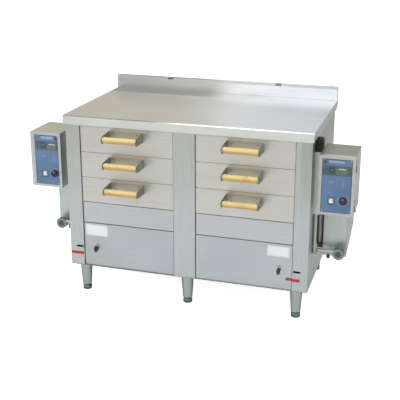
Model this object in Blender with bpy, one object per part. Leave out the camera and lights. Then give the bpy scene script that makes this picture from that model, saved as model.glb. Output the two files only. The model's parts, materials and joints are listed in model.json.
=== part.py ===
# Electric drawer steamer.
#
# Two columns of three steam drawers stand side by side under one stainless worktop. Each column
# has its own steam chamber with a water tank and a heater below the drawers, and on the outside
# of the cabinet its own control box, feed tank with gauge glass, and drain cocks.
#
# Metres, +Z up, +X to the right of someone who faces the drawers, +Y to the rear. The origin is
# on the floor, under the middle of the whole object's box.

import math

import bmesh
import bpy
from mathutils import Matrix, Vector

# General sizes
sheet = 0.002
gap = 0.0003
cut_overrun = 0.010

# Worktop
worktop_width = 1.120
worktop_depth = 0.642
worktop_edge = 0.040
worktop_front_overhang = 0.010
worktop_side_overhang = 0.007
worktop_corner = 0.004
backsplash_height = 0.064
backsplash_thickness = 0.030
rear_edge_height = 0.024
rear_lip = 0.012
backsplash_slot_length = 0.028
backsplash_slot_width = 0.010
backsplash_slot_share = 0.49

# Cabinet
body_depth = 0.630
base_height = 0.138
base_plate = 0.003
base_flange_height = 0.020
end_post_width = 0.067
centre_post_width = 0.099
post_return = 0.034
side_rear_flange = 0.020
top_rail_drop = 0.006
top_rail_depth = 0.016
post_slot_length = 0.032
post_slot_height = 0.009
post_slot_inset = 0.004
post_slot_above_drain = 0.003

# Fronts, all in one plane just behind the posts
front_recess = 0.005
front_thickness = 0.018
front_side_gap = 0.0025
front_line_gap = 0.003
drawers_per_column = 3
drawer_pitch = 0.118
fascia_height = 0.100

# Steam chamber with its water tank
chamber_side_clearance = 0.004
chamber_depth = 0.555
tank_depth = 0.150
drain_space_height = 0.159
chamber_stand_inset = 0.090
chamber_stand_width_share = 0.86
runner_width = 0.009
runner_thickness = 0.003
runner_front_inset = 0.012
runner_rear_inset = 0.020

# Drawer
drawer_depth = 0.505
drawer_height = 0.088
drawer_rim_drop = 0.018
drawer_flange = 0.008
drawer_flange_clearance = 0.001
runner_side_clearance = 0.0015
slot_rows = 3
slots_per_row = 8
slot_width = 0.012
slot_row_share = 0.80
slot_field_share = 0.90

# Drawer handle: two ears of bent steel with a wooden bar between them
handle_width = 0.160
handle_reach = 0.072
handle_drop = 0.037
ear_thickness = 0.003
ear_end_radius = 0.0165
ear_base_above = 0.022
ear_base_below = 0.018
bracket_plate = 0.002
grip_radius = 0.0135
grip_end_radius = 0.0115
grip_end_length = 0.006

# Heater
heater_tube_radius = 0.0042
heater_level_above_tank = 0.026
heater_length = 0.470
heater_loop_centre = 0.070
heater_loop_half_width = 0.030
heater_bend_radius = 0.026
heater_flange_thickness = 0.003
heater_flange_margin = 0.012
heater_hole_margin = 0.004
heater_terminal_length = 0.008

# Drain of the water tank, with a cock that is turned from the front
drain_pipe_radius = 0.009
drain_bend_radius = 0.018
drain_stem_radius = 0.005
drain_stem_proud = 0.003
drain_hole_clearance = 0.001
drain_edge_distance = 0.060
drain_level_share = 0.54
drain_rear = 0.070
drain_knob_radius = 0.0085
drain_knob_depth = 0.012
drain_lever_length = 0.029
drain_lever_width = 0.011
drain_lever_depth = 0.007

# Legs and their adjustable feet
leg_side_inset = 0.054
leg_front_inset = 0.046
leg_top_radius = 0.0275
leg_collar_height = 0.014
leg_bottom_radius = 0.0215
foot_radius = 0.0205
foot_height = 0.022
foot_chamfer = 0.004
foot_nut_radius = 0.0135
foot_nut_height = 0.004
foot_turning_gap = 0.001
foot_stem_radius = 0.0095
foot_stem_length = 0.052

# Control box on each side of the cabinet
control_stand_off = 0.029
control_width = 0.148
control_height = 0.255
control_below_top = 0.090
control_depth = 0.190
control_door_depth = 0.022
control_lip = 0.008
door_skin = 0.003
faceplate_margin = 0.012
faceplate_recess = 0.001
left_layout_shift = 0.011  # dial and button sit this much further right on the left door
hinge_radius = 0.004
hinge_leaf_height = 0.026
hinge_end_share = 0.06
hinge_web = 0.002
dial_from_left = 0.092
dial_from_top = 0.176
dial_radius = 0.016
dial_top_radius = 0.0135
dial_height = 0.014
dial_shaft_radius = 0.004
dial_shaft_length = 0.010
dial_rib_width = 0.003
dial_rib_height = 0.0015
button_from_left = 0.043
button_from_top = 0.180
button_width = 0.014
button_height = 0.017
button_proud = 0.005
button_corner = 0.003
button_flange = 0.003
button_flange_thickness = 0.002
lock_from_inner = 0.012
lock_from_top = 0.014
lock_radius = 0.007
lock_proud = 0.003
lock_shaft_radius = 0.004
lock_cam_width = 0.010
lock_cam_thickness = 0.003
lock_cam_clearance = 0.0007
lock_end_proud = 0.0025
contactor_size = (0.046, 0.060, 0.078)
relay_size = (0.034, 0.045, 0.044)
terminal_size = (0.100, 0.022, 0.018)
control_part_spacing = 0.014

# Duct that carries the cables from the control box to the cabinet
duct_front = 0.068
duct_depth = 0.092
duct_top_drop = 0.008
duct_bottom_drop = 0.028
duct_window_share = 0.5
bush_depth = 0.060
bush_height = 0.050
bush_chamfer = 0.006
bush_front_inset = 0.004

# Feed tank under each control box
feed_stand_off = 0.034
feed_width = 0.104
feed_front = 0.178
feed_depth = 0.242
feed_front_height = 0.255
feed_rear_height = 0.177
feed_vent_radius = 0.009
feed_bracket_height = 0.030
feed_bracket_depth = 0.012
feed_bracket_shares = (0.30, 0.86)
feed_bracket_below_top = 0.075
feed_link_radius = 0.010
feed_link_share = 0.55
feed_link_below_top = 0.160
gauge_radius = 0.008
gauge_bore_radius = 0.0055
gauge_from_side = 0.0175
gauge_behind_front = 0.012
gauge_above_tank_bottom = 0.050
gauge_length = 0.155
gauge_fitting_height = 0.018
gauge_fitting_half = 0.009

# Water inlet union, its pipe and its drain cock in front of the feed tank
union_from_side = 0.109
union_above_tank_bottom = 0.029
union_radius = 0.026
union_ring_length = 0.018
union_neck_radius = 0.016
union_total_length = 0.050
union_recess_radius = 0.014
union_recess_depth = 0.005
inlet_pipe_radius = 0.008
inlet_pipe_from_side = 0.0095
inlet_pipe_above_union = 0.009
inlet_pipe_setback = 0.008
inlet_riser_front = 0.095
inlet_bend_radius = 0.014
cock_from_side = 0.065
cock_stem_radius = 0.0045
cock_stem_length = 0.006
cock_hub_radius = 0.0065
cock_hub_height = 0.008
cock_wing_width = 0.015
cock_wing_height = 0.015
cock_wing_thickness = 0.004

# Smoothness of round pieces
round_segments = 20
small_segments = 14
pipe_sides = 10
nut_sides = 6
bend_steps = 5
ear_end_steps = 8
button_corner_steps = 2
smooth_angle = math.radians(40)

# Places that follow from the sizes above
body_half = worktop_width / 2 - worktop_side_overhang
foot_shoulder = foot_height + foot_nut_height
base_top = base_height + base_plate
tank_floor = base_top + drain_space_height
opening_bottom = tank_floor + tank_depth
opening_top = opening_bottom + drawers_per_column * drawer_pitch
fascia_bottom = opening_bottom - fascia_height
skirt_bottom = opening_top + top_rail_drop
worktop_height = skirt_bottom + worktop_edge
worktop_underside = worktop_height - sheet
body_top = worktop_underside - gap
opening_half = (body_half - end_post_width - centre_post_width / 2) / 2
column_centre = centre_post_width / 2 + opening_half
front_half = opening_half - front_side_gap
handle_end = handle_reach + ear_end_radius - front_recess
rear_end = worktop_depth + backsplash_thickness - worktop_front_overhang
front = (handle_end - rear_end) / 2
rear = front + body_depth
panel_front = front + front_recess
panel_back = panel_front + front_thickness
chamber_front = panel_back + gap
chamber_rear = chamber_front + chamber_depth
chamber_half = opening_half - chamber_side_clearance
chamber_inner_half = chamber_half - sheet
drain_level = base_top + drain_space_height * drain_level_share
runner_inner = chamber_inner_half - runner_width
drawer_half = runner_inner - runner_side_clearance
control_inner = body_half + control_stand_off
control_outer = control_inner + control_width
control_top = worktop_height - control_below_top
control_bottom = control_top - control_height
door_back = front + control_door_depth
housing_front = door_back + gap
housing_rear = front + control_depth
hinge_x = control_outer + hinge_radius + hinge_web
hinge_y = (door_back + housing_front) / 2
duct_top = control_top - duct_top_drop
duct_bottom = control_bottom - duct_bottom_drop
duct_face = front + duct_front
feed_face = front + feed_front
feed_back = feed_face + feed_depth
feed_inner = body_half + feed_stand_off
feed_outer = feed_inner + feed_width
feed_top = control_bottom - gap
feed_bottom_front = feed_top - feed_front_height
feed_bottom_rear = feed_top - feed_rear_height
gauge_bottom = feed_bottom_front + gauge_above_tank_bottom
gauge_top = gauge_bottom + gauge_length
union_level = feed_bottom_front + union_above_tank_bottom


def clear_scene():
    for item in list(bpy.data.objects):
        bpy.data.objects.remove(item, do_unlink=True)


def make_material(name, colour, metallic, roughness, alpha=1.0):
    material = bpy.data.materials.new(name)
    material.use_nodes = True
    shader = material.node_tree.nodes["Principled BSDF"]
    shader.inputs["Base Color"].default_value = (*colour, 1.0)
    shader.inputs["Metallic"].default_value = metallic
    shader.inputs["Roughness"].default_value = roughness
    shader.inputs["Alpha"].default_value = alpha
    return material


def to_object(bm):
    """A closed mesh as a new object, with its faces turned outwards."""
    bmesh.ops.recalc_face_normals(bm, faces=bm.faces)
    mesh = bpy.data.meshes.new("solid")
    bm.to_mesh(mesh)
    bm.free()
    solid = bpy.data.objects.new("solid", mesh)
    bpy.context.scene.collection.objects.link(solid)
    return solid


def add_block(bm, low, high):
    size = Vector(high) - Vector(low)
    middle = (Vector(high) + Vector(low)) / 2
    place = Matrix.Translation(middle) @ Matrix.Diagonal((*size, 1.0))
    bmesh.ops.create_cube(bm, size=1.0, matrix=place)


def blocks(corner_pairs):
    """One mesh of separate blocks, each given by its lowest and highest corner."""
    bm = bmesh.new()
    for low, high in corner_pairs:
        add_block(bm, low, high)
    return to_object(bm)


def block(low, high):
    return blocks([(low, high)])


def sided(side, near, far):
    """The lower and the higher x of a stretch given outwards from the middle, on one side."""
    return min(side * near, side * far), max(side * near, side * far)


def prism(outline, axis, start, end):
    """A flat outline carried along one axis. The outline gives the other two axes in X, Y, Z order."""
    def point(pair, along):
        values = list(pair)
        values.insert("XYZ".index(axis), along)
        return values

    bm = bmesh.new()
    near = [bm.verts.new(point(pair, start)) for pair in outline]
    far = [bm.verts.new(point(pair, end)) for pair in outline]
    bm.faces.new(near)
    bm.faces.new(far)
    for i in range(len(outline)):
        after = (i + 1) % len(outline)
        bm.faces.new((near[i], near[after], far[after], far[i]))
    return to_object(bm)


def turned(profile, axis, centre, segments):
    """A profile of (radius, place along the axis) pairs turned into a closed round solid."""
    across = {"X": (1, 2), "Y": (2, 0), "Z": (0, 1)}[axis]
    along = "XYZ".index(axis)
    bm = bmesh.new()
    rings = []
    for radius, place in profile:
        ring = []
        for i in range(segments):
            angle = math.tau * i / segments
            point = list(centre)
            point[across[0]] += radius * math.cos(angle)
            point[across[1]] += radius * math.sin(angle)
            point[along] += place
            ring.append(bm.verts.new(point))
        rings.append(ring)
    for lower, upper in zip(rings, rings[1:]):
        for i in range(segments):
            after = (i + 1) % segments
            bm.faces.new((lower[i], lower[after], upper[after], upper[i]))
    bm.faces.new(rings[0])
    bm.faces.new(rings[-1])
    return to_object(bm)


def rounded_path(points, bend_radius):
    """The route through the points, with an arc of the bend radius at each corner."""
    points = [Vector(point) for point in points]
    path = [points[0]]
    for before, corner, after in zip(points, points[1:], points[2:]):
        into = (corner - before).normalized()
        out = (after - corner).normalized()
        turn = into.angle(out)
        cut_back = bend_radius * math.tan(turn / 2)
        start = corner - into * cut_back
        inward = (out - into * into.dot(out)).normalized()
        centre = start + inward * bend_radius
        for step in range(bend_steps + 1):
            angle = turn * step / bend_steps
            path.append(centre - inward * bend_radius * math.cos(angle) + into * bend_radius * math.sin(angle))
    path.append(points[-1])
    return path


def tube(path, radius, sides):
    """A round tube along a path, closed flat at both ends."""
    bm = bmesh.new()
    rings = []
    normal = None
    for i, point in enumerate(path):
        before = path[max(i - 1, 0)]
        after = path[min(i + 1, len(path) - 1)]
        heading = (after - before).normalized()
        if normal is None:
            normal = heading.orthogonal().normalized()
        normal = (normal - heading * normal.dot(heading)).normalized()
        other = heading.cross(normal)
        ring = []
        for k in range(sides):
            angle = math.tau * k / sides
            ring.append(bm.verts.new(point + (normal * math.cos(angle) + other * math.sin(angle)) * radius))
        rings.append(ring)
    for lower, upper in zip(rings, rings[1:]):
        for k in range(sides):
            after = (k + 1) % sides
            bm.faces.new((lower[k], lower[after], upper[after], upper[k]))
    bm.faces.new(rings[0])
    bm.faces.new(rings[-1])
    return to_object(bm)


def combine(base, others, operation):
    for other in others:
        modifier = base.modifiers.new(operation.lower(), "BOOLEAN")
        modifier.operation = operation
        modifier.solver = "EXACT"
        modifier.object = other
    bpy.context.view_layer.update()
    graph = bpy.context.evaluated_depsgraph_get()
    shaped = bpy.data.meshes.new_from_object(base.evaluated_get(graph))
    base.modifiers.clear()
    base.data = shaped
    for other in others:
        bpy.data.objects.remove(other, do_unlink=True)
    return base


def fuse(base, *others):
    return combine(base, others, "UNION")


def cut(base, *others):
    return combine(base, others, "DIFFERENCE")


def finish(name, solid, material, origin=(0, 0, 0), parent=None):
    """Names the solid, gives it its material and moves its origin, such as onto a joint's axis."""
    origin = Vector(origin)
    solid.name = name
    solid.data.name = name
    solid.data.transform(Matrix.Translation(-origin))
    solid.data.materials.clear()
    solid.data.materials.append(materials[material])
    solid.location = origin
    if parent:
        solid.parent = parent
        solid.matrix_parent_inverse = Matrix.Translation(-parent.location)
    solid.data.shade_smooth()
    solid.data.set_sharp_from_angle(angle=smooth_angle)
    return solid


def make_worktop():
    """Folded top with an edge all round, open below, and a hollow backsplash along the rear."""
    half = worktop_width / 2
    edge_front = front - worktop_front_overhang
    splash_front = edge_front + worktop_depth
    splash_rear = splash_front + backsplash_thickness
    splash_top = worktop_height + backsplash_height
    rear_edge_bottom = worktop_height - rear_edge_height
    outer = [
        (edge_front, skirt_bottom),
        (edge_front, worktop_height - worktop_corner),
        (edge_front + worktop_corner, worktop_height),
        (splash_front, worktop_height),
        (splash_front, splash_top),
        (splash_rear, splash_top),
        (splash_rear, rear_edge_bottom),
        (rear + gap, skirt_bottom),
    ]
    inner = [
        (edge_front + sheet, skirt_bottom - cut_overrun),
        (edge_front + sheet, worktop_underside - worktop_corner),
        (edge_front + sheet + worktop_corner, worktop_underside),
        (splash_front + sheet, worktop_underside),
        (splash_front + sheet, splash_top - sheet),
        (splash_rear - sheet, splash_top - sheet),
        (splash_rear - sheet, rear_edge_bottom + sheet),
        (rear + rear_lip, skirt_bottom + rear_lip + sheet),
        (rear + gap / 2, skirt_bottom + rear_lip + sheet),
        (rear + gap / 2, skirt_bottom - cut_overrun),
    ]
    shell = cut(prism(outer, "X", -half, half), prism(inner, "X", -half + sheet, half - sheet))
    slots = []
    for side in (-1, 1):
        middle = side * backsplash_slot_share * half
        across = (splash_front + splash_rear) / 2
        low = (middle - backsplash_slot_length / 2, across - backsplash_slot_width / 2, splash_top - sheet * 2)
        high = (middle + backsplash_slot_length / 2, across + backsplash_slot_width / 2, splash_top + sheet)
        slots.append((low, high))
    return finish("worktop", cut(shell, blocks(slots)), "brushed_steel", parent=root)


def make_base_pan():
    """Floor of the cabinet that the legs are bolted to, with a flange that stands up inside."""
    plate = block((-body_half, front, base_height), (body_half, rear, base_top))
    inset = sheet + gap
    low_y = front + post_return + gap
    high_y = rear - 2 * sheet - 2 * gap
    top = base_top + base_flange_height
    ring = block((-body_half + inset, low_y, base_height), (body_half - inset, high_y, top))
    wall = inset + sheet
    hollow = block(
        (-body_half + wall, low_y + sheet, base_top),
        (body_half - wall, high_y - sheet, top + sheet),
    )
    return finish("base_pan", cut(fuse(plate, ring), hollow), "brushed_steel", parent=root)


def make_side_panel(side, name):
    """Side of the cabinet, folded round to the front as an end post and to the rear as a flange."""
    post_edge = body_half - end_post_width
    outline = [
        (body_half, front),
        (body_half, rear),
        (body_half - side_rear_flange, rear),
        (body_half - side_rear_flange, rear - sheet),
        (body_half - sheet, rear - sheet),
        (body_half - sheet, front + sheet),
        (post_edge + sheet, front + sheet),
        (post_edge + sheet, front + post_return),
        (post_edge, front + post_return),
        (post_edge, front),
    ]
    panel = prism([(side * x, y) for x, y in outline], "Z", base_top + gap, body_top)
    x_low, x_high = sided(side, post_edge + post_slot_inset, post_edge + post_slot_inset + post_slot_length)
    slot_low = drain_level + post_slot_above_drain - post_slot_height / 2
    slot = block((x_low, front - sheet, slot_low), (x_high, front + sheet * 2, slot_low + post_slot_height))
    return finish(name, cut(panel, slot), "brushed_steel", parent=root)


def make_front_frame():
    """Centre post and the rail under the worktop's front edge, welded into one frame."""
    half = centre_post_width / 2
    post = prism(
        [
            (-half, front),
            (half, front),
            (half, front + post_return),
            (half - sheet, front + post_return),
            (half - sheet, front + sheet),
            (-half + sheet, front + sheet),
            (-half + sheet, front + post_return),
            (-half, front + post_return),
        ],
        "Z",
        base_top + gap,
        body_top - gap,
    )
    rail_half = body_half - end_post_width - gap
    rail = prism(
        [
            (front, opening_top),
            (front + top_rail_depth, opening_top),
            (front + top_rail_depth, opening_top + sheet),
            (front + sheet, opening_top + sheet),
            (front + sheet, body_top),
            (front, body_top),
        ],
        "X",
        -rail_half,
        rail_half,
    )
    return finish("front_frame", fuse(rail, post), "brushed_steel", parent=root)


def make_back_panel():
    back = rear - sheet - gap
    half = body_half - sheet - gap
    panel = block((-half, back - sheet, base_top + gap), (half, back, body_top))
    return finish("back_panel", panel, "brushed_steel", parent=root)


def folded_front(centre, low_z, high_z):
    """A sheet front with its edges folded back, open to the rear."""
    shell = block((centre - front_half, panel_front, low_z), (centre + front_half, panel_back, high_z))
    hollow = block(
        (centre - front_half + sheet, panel_front + sheet, low_z + sheet),
        (centre + front_half - sheet, panel_back + cut_overrun, high_z - sheet),
    )
    return cut(shell, hollow)


def make_fascia(side, name):
    half_line = front_line_gap / 2
    panel = folded_front(side * column_centre, fascia_bottom + half_line, opening_bottom - half_line)
    return finish(name, panel, "brushed_steel", parent=root)


def drain_x(side):
    return side * (column_centre + opening_half - drain_edge_distance)


def make_lower_panel(side, name):
    panel = folded_front(side * column_centre, base_top + gap, fascia_bottom - front_line_gap / 2)
    radius = drain_stem_radius + drain_hole_clearance
    hole_profile = [(radius, -cut_overrun), (radius, front_thickness)]
    hole = turned(hole_profile, "Y", (drain_x(side), panel_front, drain_level), small_segments)
    return finish(name, cut(panel, hole), "brushed_steel", parent=root)


def runner_level(index):
    """The height of the runner tops that one drawer hangs on, counted from the top drawer."""
    return opening_top - index * drawer_pitch - drawer_rim_drop - sheet - gap


def make_steam_chamber(side, name):
    """Chamber that the drawers slide into, with runners, a water tank below, stands and a drain."""
    centre = side * column_centre
    roof = opening_top + sheet
    shell = block((centre - chamber_half, chamber_front, tank_floor), (centre + chamber_half, chamber_rear, roof))
    hollow = block(
        (centre - chamber_inner_half, chamber_front + sheet, tank_floor + sheet),
        (centre + chamber_inner_half, chamber_rear - sheet, opening_top),
    )
    mouth = block(
        (centre - chamber_inner_half, chamber_front - cut_overrun, opening_bottom),
        (centre + chamber_inner_half, chamber_front + cut_overrun, opening_top),
    )
    level = tank_floor + heater_level_above_tank
    hole_half = heater_loop_centre + heater_loop_half_width + heater_tube_radius + heater_hole_margin
    hole_height = heater_tube_radius + heater_hole_margin
    heater_hole = block(
        (centre - hole_half, chamber_front - cut_overrun, level - hole_height),
        (centre + hole_half, chamber_front + sheet * 2, level + hole_height),
    )
    chamber = cut(shell, hollow, mouth, heater_hole)
    rails = []
    for index in range(drawers_per_column):
        top = runner_level(index)
        for hand in (-1, 1):
            x_low, x_high = sided(hand, runner_inner, chamber_inner_half + sheet / 2)
            low = (centre + x_low, chamber_front + runner_front_inset, top - runner_thickness)
            rails.append((low, (centre + x_high, chamber_rear - runner_rear_inset, top)))
    stand_half = chamber_half * chamber_stand_width_share
    for y in (chamber_front + chamber_stand_inset, chamber_rear - chamber_stand_inset):
        low = (centre - stand_half, y, base_top + gap)
        rails.append((low, (centre + stand_half, y + sheet, tank_floor + sheet / 2)))
    x = drain_x(side)
    pipe_rear = chamber_front + drain_rear
    stem_end = panel_front - drain_stem_proud
    pipe_front = panel_back + gap
    route = [(x, pipe_rear, tank_floor + sheet / 2), (x, pipe_rear, drain_level), (x, pipe_front, drain_level)]
    pipe = tube(rounded_path(route, drain_bend_radius), drain_pipe_radius, pipe_sides)
    stem_profile = [(drain_stem_radius, stem_end), (drain_stem_radius, pipe_front + drain_pipe_radius)]
    stem = turned(stem_profile, "Y", (x, 0, drain_level), small_segments)
    chamber = fuse(chamber, blocks(rails))
    chamber = fuse(chamber, fuse(pipe, stem))
    return finish(name, chamber, "liner_steel", parent=root)


def make_heater(side, name):
    """Flange on the tank's front wall with two hairpin heating tubes that reach into the water."""
    centre = side * column_centre
    level = tank_floor + heater_level_above_tank
    flange_back = chamber_front - gap
    flange_front = flange_back - heater_flange_thickness
    reach = heater_loop_centre + heater_loop_half_width + heater_tube_radius
    half = reach + heater_flange_margin
    height = heater_tube_radius + heater_flange_margin
    heater = block((centre - half, flange_front, level - height), (centre + half, flange_back, level + height))
    for hand in (-1, 1):
        middle = centre + hand * heater_loop_centre
        left = middle - heater_loop_half_width
        right = middle + heater_loop_half_width
        start = flange_front - heater_terminal_length
        end = chamber_front + heater_length
        route = [(left, start, level), (left, end, level), (right, end, level), (right, start, level)]
        loop = tube(rounded_path(route, heater_bend_radius), heater_tube_radius, pipe_sides)
        heater = fuse(heater, loop)
    return finish(name, heater, "heater_metal", parent=root)


def ear_outline(bar_y, bar_z):
    """Side view of an ear: a tapering arm from the drawer's front to a round end about the bar."""
    root_y = panel_front + bracket_plate
    points = [(root_y, bar_z - ear_base_below), (root_y, bar_z + ear_base_above)]
    for step in range(ear_end_steps + 1):
        angle = math.pi / 2 + math.pi * step / ear_end_steps
        points.append((bar_y + ear_end_radius * math.cos(angle), bar_z + ear_end_radius * math.sin(angle)))
    return points


def bar_place(index):
    """The y and z of a handle bar's axis."""
    return panel_front - handle_reach, opening_top - index * drawer_pitch - handle_drop


def make_drawer(side, index, name):
    """Double-skinned front, a box with a slotted floor that hangs on the runners, and a bracket."""
    centre = side * column_centre
    top = opening_top - index * drawer_pitch
    half_line = front_line_gap / 2
    high = top - half_line
    low = top - drawer_pitch + half_line
    skin = block((centre - front_half, panel_front, low), (centre + front_half, panel_back, high))
    skin_hollow = block(
        (centre - front_half + sheet, panel_front + sheet, low - cut_overrun),
        (centre + front_half - sheet, panel_back - sheet, high - sheet),
    )
    drawer = cut(skin, skin_hollow)
    rim = top - drawer_rim_drop
    floor = rim - drawer_height
    box_front = panel_back - sheet / 2
    box_rear = panel_back + drawer_depth
    box = block((centre - drawer_half, box_front, floor), (centre + drawer_half, box_rear, rim))
    flange_half = drawer_half + runner_side_clearance + drawer_flange
    flange = block((centre - flange_half, box_front, rim - sheet), (centre + flange_half, box_rear, rim))
    inside = block(
        (centre - drawer_half + sheet, panel_back + sheet, floor + sheet),
        (centre + drawer_half - sheet, box_rear - sheet, rim + cut_overrun),
    )
    slots = []
    inner_width = 2 * (drawer_half - sheet)
    inner_depth = box_rear - panel_back - 2 * sheet
    row_pitch = inner_width * slot_field_share / slot_rows
    slot_pitch = inner_depth * slot_field_share / slots_per_row
    middle_y = (box_rear + panel_back) / 2
    for row in range(slot_rows):
        x = centre + (row - (slot_rows - 1) / 2) * row_pitch
        for place in range(slots_per_row):
            y = middle_y + (place - (slots_per_row - 1) / 2) * slot_pitch
            half_length = row_pitch * slot_row_share / 2
            slot_low = (x - half_length, y - slot_width / 2, floor - sheet)
            slots.append((slot_low, (x + half_length, y + slot_width / 2, floor + sheet * 2)))
    box = cut(fuse(box, flange), inside, blocks(slots))
    drawer = fuse(drawer, box)
    bar_y, bar_z = bar_place(index)
    half = handle_width / 2
    plate_low = (centre - half, panel_front - bracket_plate, bar_z - ear_base_below)
    plate_high = (centre + half, panel_front + bracket_plate / 2, bar_z + ear_base_above)
    bracket = block(plate_low, plate_high)
    for hand in (-1, 1):
        x_low, x_high = sided(hand, half - ear_thickness, half)
        bracket = fuse(bracket, prism(ear_outline(bar_y, bar_z), "X", centre + x_low, centre + x_high))
    origin = (centre, panel_front, (low + high) / 2)
    return finish(name, fuse(drawer, bracket), "drawer_steel", origin, root)


def make_grip(side, index, name, drawer):
    """Turned wooden bar, held between the two ears."""
    bar_y, bar_z = bar_place(index)
    end = handle_width / 2 - ear_thickness - gap
    shoulder = end - grip_end_length
    profile = [
        (grip_end_radius, -end),
        (grip_radius, -shoulder),
        (grip_radius, shoulder),
        (grip_end_radius, end),
    ]
    centre = (side * column_centre, bar_y, bar_z)
    grip = turned(profile, "X", centre, round_segments)
    return finish(name, grip, "wood", centre, drawer)


def make_leg(x, y, name):
    top = base_height - gap
    profile = [
        (leg_bottom_radius, foot_shoulder + foot_turning_gap),
        (leg_top_radius, top - leg_collar_height),
        (leg_top_radius, top),
    ]
    leg = turned(profile, "Z", (x, y, 0), round_segments)
    bore_radius = foot_stem_radius + gap
    bore_top = foot_shoulder + foot_stem_length + gap
    bore = turned([(bore_radius, 0), (bore_radius, bore_top)], "Z", (x, y, 0), small_segments)
    return finish(name, cut(leg, bore), "leg_steel", parent=root)


def make_foot(x, y, name):
    """Round foot with a hexagon to turn it by, on a stem that screws into the leg."""
    profile = [
        (foot_radius - foot_chamfer / 2, 0),
        (foot_radius, foot_chamfer),
        (foot_radius, foot_height - foot_chamfer),
        (foot_radius - foot_chamfer, foot_height),
        (foot_stem_radius, foot_height),
        (foot_stem_radius, foot_shoulder + foot_stem_length),
    ]
    foot = turned(profile, "Z", (x, y, 0), small_segments)
    nut_profile = [(foot_nut_radius, foot_height - foot_chamfer), (foot_nut_radius, foot_shoulder)]
    nut = turned(nut_profile, "Z", (x, y, 0), nut_sides)
    return finish(name, fuse(foot, nut), "foot_black", (x, y, 0), root)


def make_control_box(side, name):
    """Housing with the electrical parts on its rear wall, and the duct that joins it to the cabinet."""
    x_low, x_high = sided(side, control_inner, control_outer)
    housing = block((x_low, housing_front, control_bottom), (x_high, housing_rear, control_top))
    inside = block(
        (x_low + sheet, housing_front + sheet, control_bottom + sheet),
        (x_high - sheet, housing_rear - sheet, control_top - sheet),
    )
    mouth = block(
        (x_low + control_lip, housing_front - cut_overrun, control_bottom + control_lip),
        (x_high - control_lip, housing_front + cut_overrun, control_top - control_lip),
    )
    d_low, d_high = sided(side, body_half + gap, control_inner + sheet / 2)
    duct = block((d_low, duct_face, duct_bottom), (d_high, duct_face + duct_depth, duct_top))
    h_low, h_high = sided(side, body_half - cut_overrun, control_inner - sheet)
    duct_hollow = block(
        (h_low, duct_face + sheet, duct_bottom + sheet),
        (h_high, duct_face + duct_depth - sheet, duct_top - sheet),
    )
    middle_z = (control_top + control_bottom) / 2
    window_half = control_height * duct_window_share / 2
    w_low, w_high = sided(side, control_inner - sheet * 2, control_inner + sheet * 2)
    window = block(
        (w_low, duct_face + 2 * sheet, middle_z - window_half),
        (w_high, duct_face + duct_depth - 2 * sheet, middle_z + window_half),
    )
    box = cut(fuse(cut(housing, inside, mouth), cut(duct, duct_hollow)), window)
    middle_x = (x_low + x_high) / 2
    level = control_bottom + control_part_spacing
    for size in (terminal_size, contactor_size, relay_size):
        low = (middle_x - size[0] / 2, housing_rear - sheet * 1.5 - size[1], level)
        box = fuse(box, block(low, (middle_x + size[0] / 2, housing_rear - sheet / 2, level + size[2])))
        level += size[2] + control_part_spacing
    for foot in hinge_feet():
        low, high = foot, foot + hinge_leaf_height
        box = fuse(box, hinge_leaf(side, low, high, housing_front, housing_front + hinge_radius))
    return finish(name, box, "box_steel", parent=root)


def hinge_feet():
    """The lowest z of the two hinges. Each has the housing's knuckle below the door's."""
    inset = control_height * hinge_end_share
    return control_bottom + inset, control_top - inset - 2 * hinge_leaf_height - gap


def hinge_leaf(side, low, high, web_low_y, web_high_y):
    """A hinge knuckle with the web that joins it to the side of the box or of the door."""
    profile = [(hinge_radius, low), (hinge_radius, high)]
    knuckle = turned(profile, "Z", (side * hinge_x, hinge_y, 0), small_segments)
    x_low, x_high = sided(side, control_outer - sheet / 2, hinge_x)
    return fuse(knuckle, block((x_low, web_low_y, low), (x_high, web_high_y, high)))


def faceplate_left(side):
    x_low, _ = sided(side, control_inner, control_outer)
    return x_low + faceplate_margin


def on_faceplate(side, from_left, from_top):
    """A place on the faceplate, measured from its left and top edges as one faces it."""
    shift = left_layout_shift if side < 0 else 0
    return faceplate_left(side) + from_left + shift, control_top - faceplate_margin - from_top


def lock_place(side):
    x = side * (control_inner + faceplate_margin + lock_from_inner)
    return x, control_top - faceplate_margin - lock_from_top


def make_control_door(side, name):
    """Shallow door with a recessed field for the faceplate and holes for dial, button and lock."""
    x_low, x_high = sided(side, control_inner, control_outer)
    door = block((x_low, front, control_bottom), (x_high, door_back, control_top))
    inside = block(
        (x_low + sheet, front + door_skin, control_bottom + sheet),
        (x_high - sheet, door_back + cut_overrun, control_top - sheet),
    )
    field = block(
        (x_low + faceplate_margin, front - cut_overrun, control_bottom + faceplate_margin),
        (x_high - faceplate_margin, front + faceplate_recess, control_top - faceplate_margin),
    )
    dial_x, dial_z = on_faceplate(side, dial_from_left, dial_from_top)
    lock_x, lock_z = lock_place(side)
    through = [(dial_shaft_radius, dial_x, dial_z), (lock_shaft_radius, lock_x, lock_z)]
    holes = []
    for radius, x, z in through:
        profile = [(radius + gap, -cut_overrun), (radius + gap, cut_overrun)]
        holes.append(turned(profile, "Y", (x, front, z), small_segments))
    button_x, button_z = on_faceplate(side, button_from_left, button_from_top)
    half_x = button_width / 2 + gap
    half_z = button_height / 2 + gap
    button_hole = block(
        (button_x - half_x, front - cut_overrun, button_z - half_z),
        (button_x + half_x, front + cut_overrun, button_z + half_z),
    )
    door = cut(door, inside, field, button_hole, *holes)
    for foot in hinge_feet():
        low = foot + hinge_leaf_height + gap
        leaf = hinge_leaf(side, low, low + hinge_leaf_height, door_back - hinge_radius, door_back)
        door = fuse(door, leaf)
    return finish(name, door, "box_steel", (side * hinge_x, hinge_y, control_bottom), root)


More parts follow.
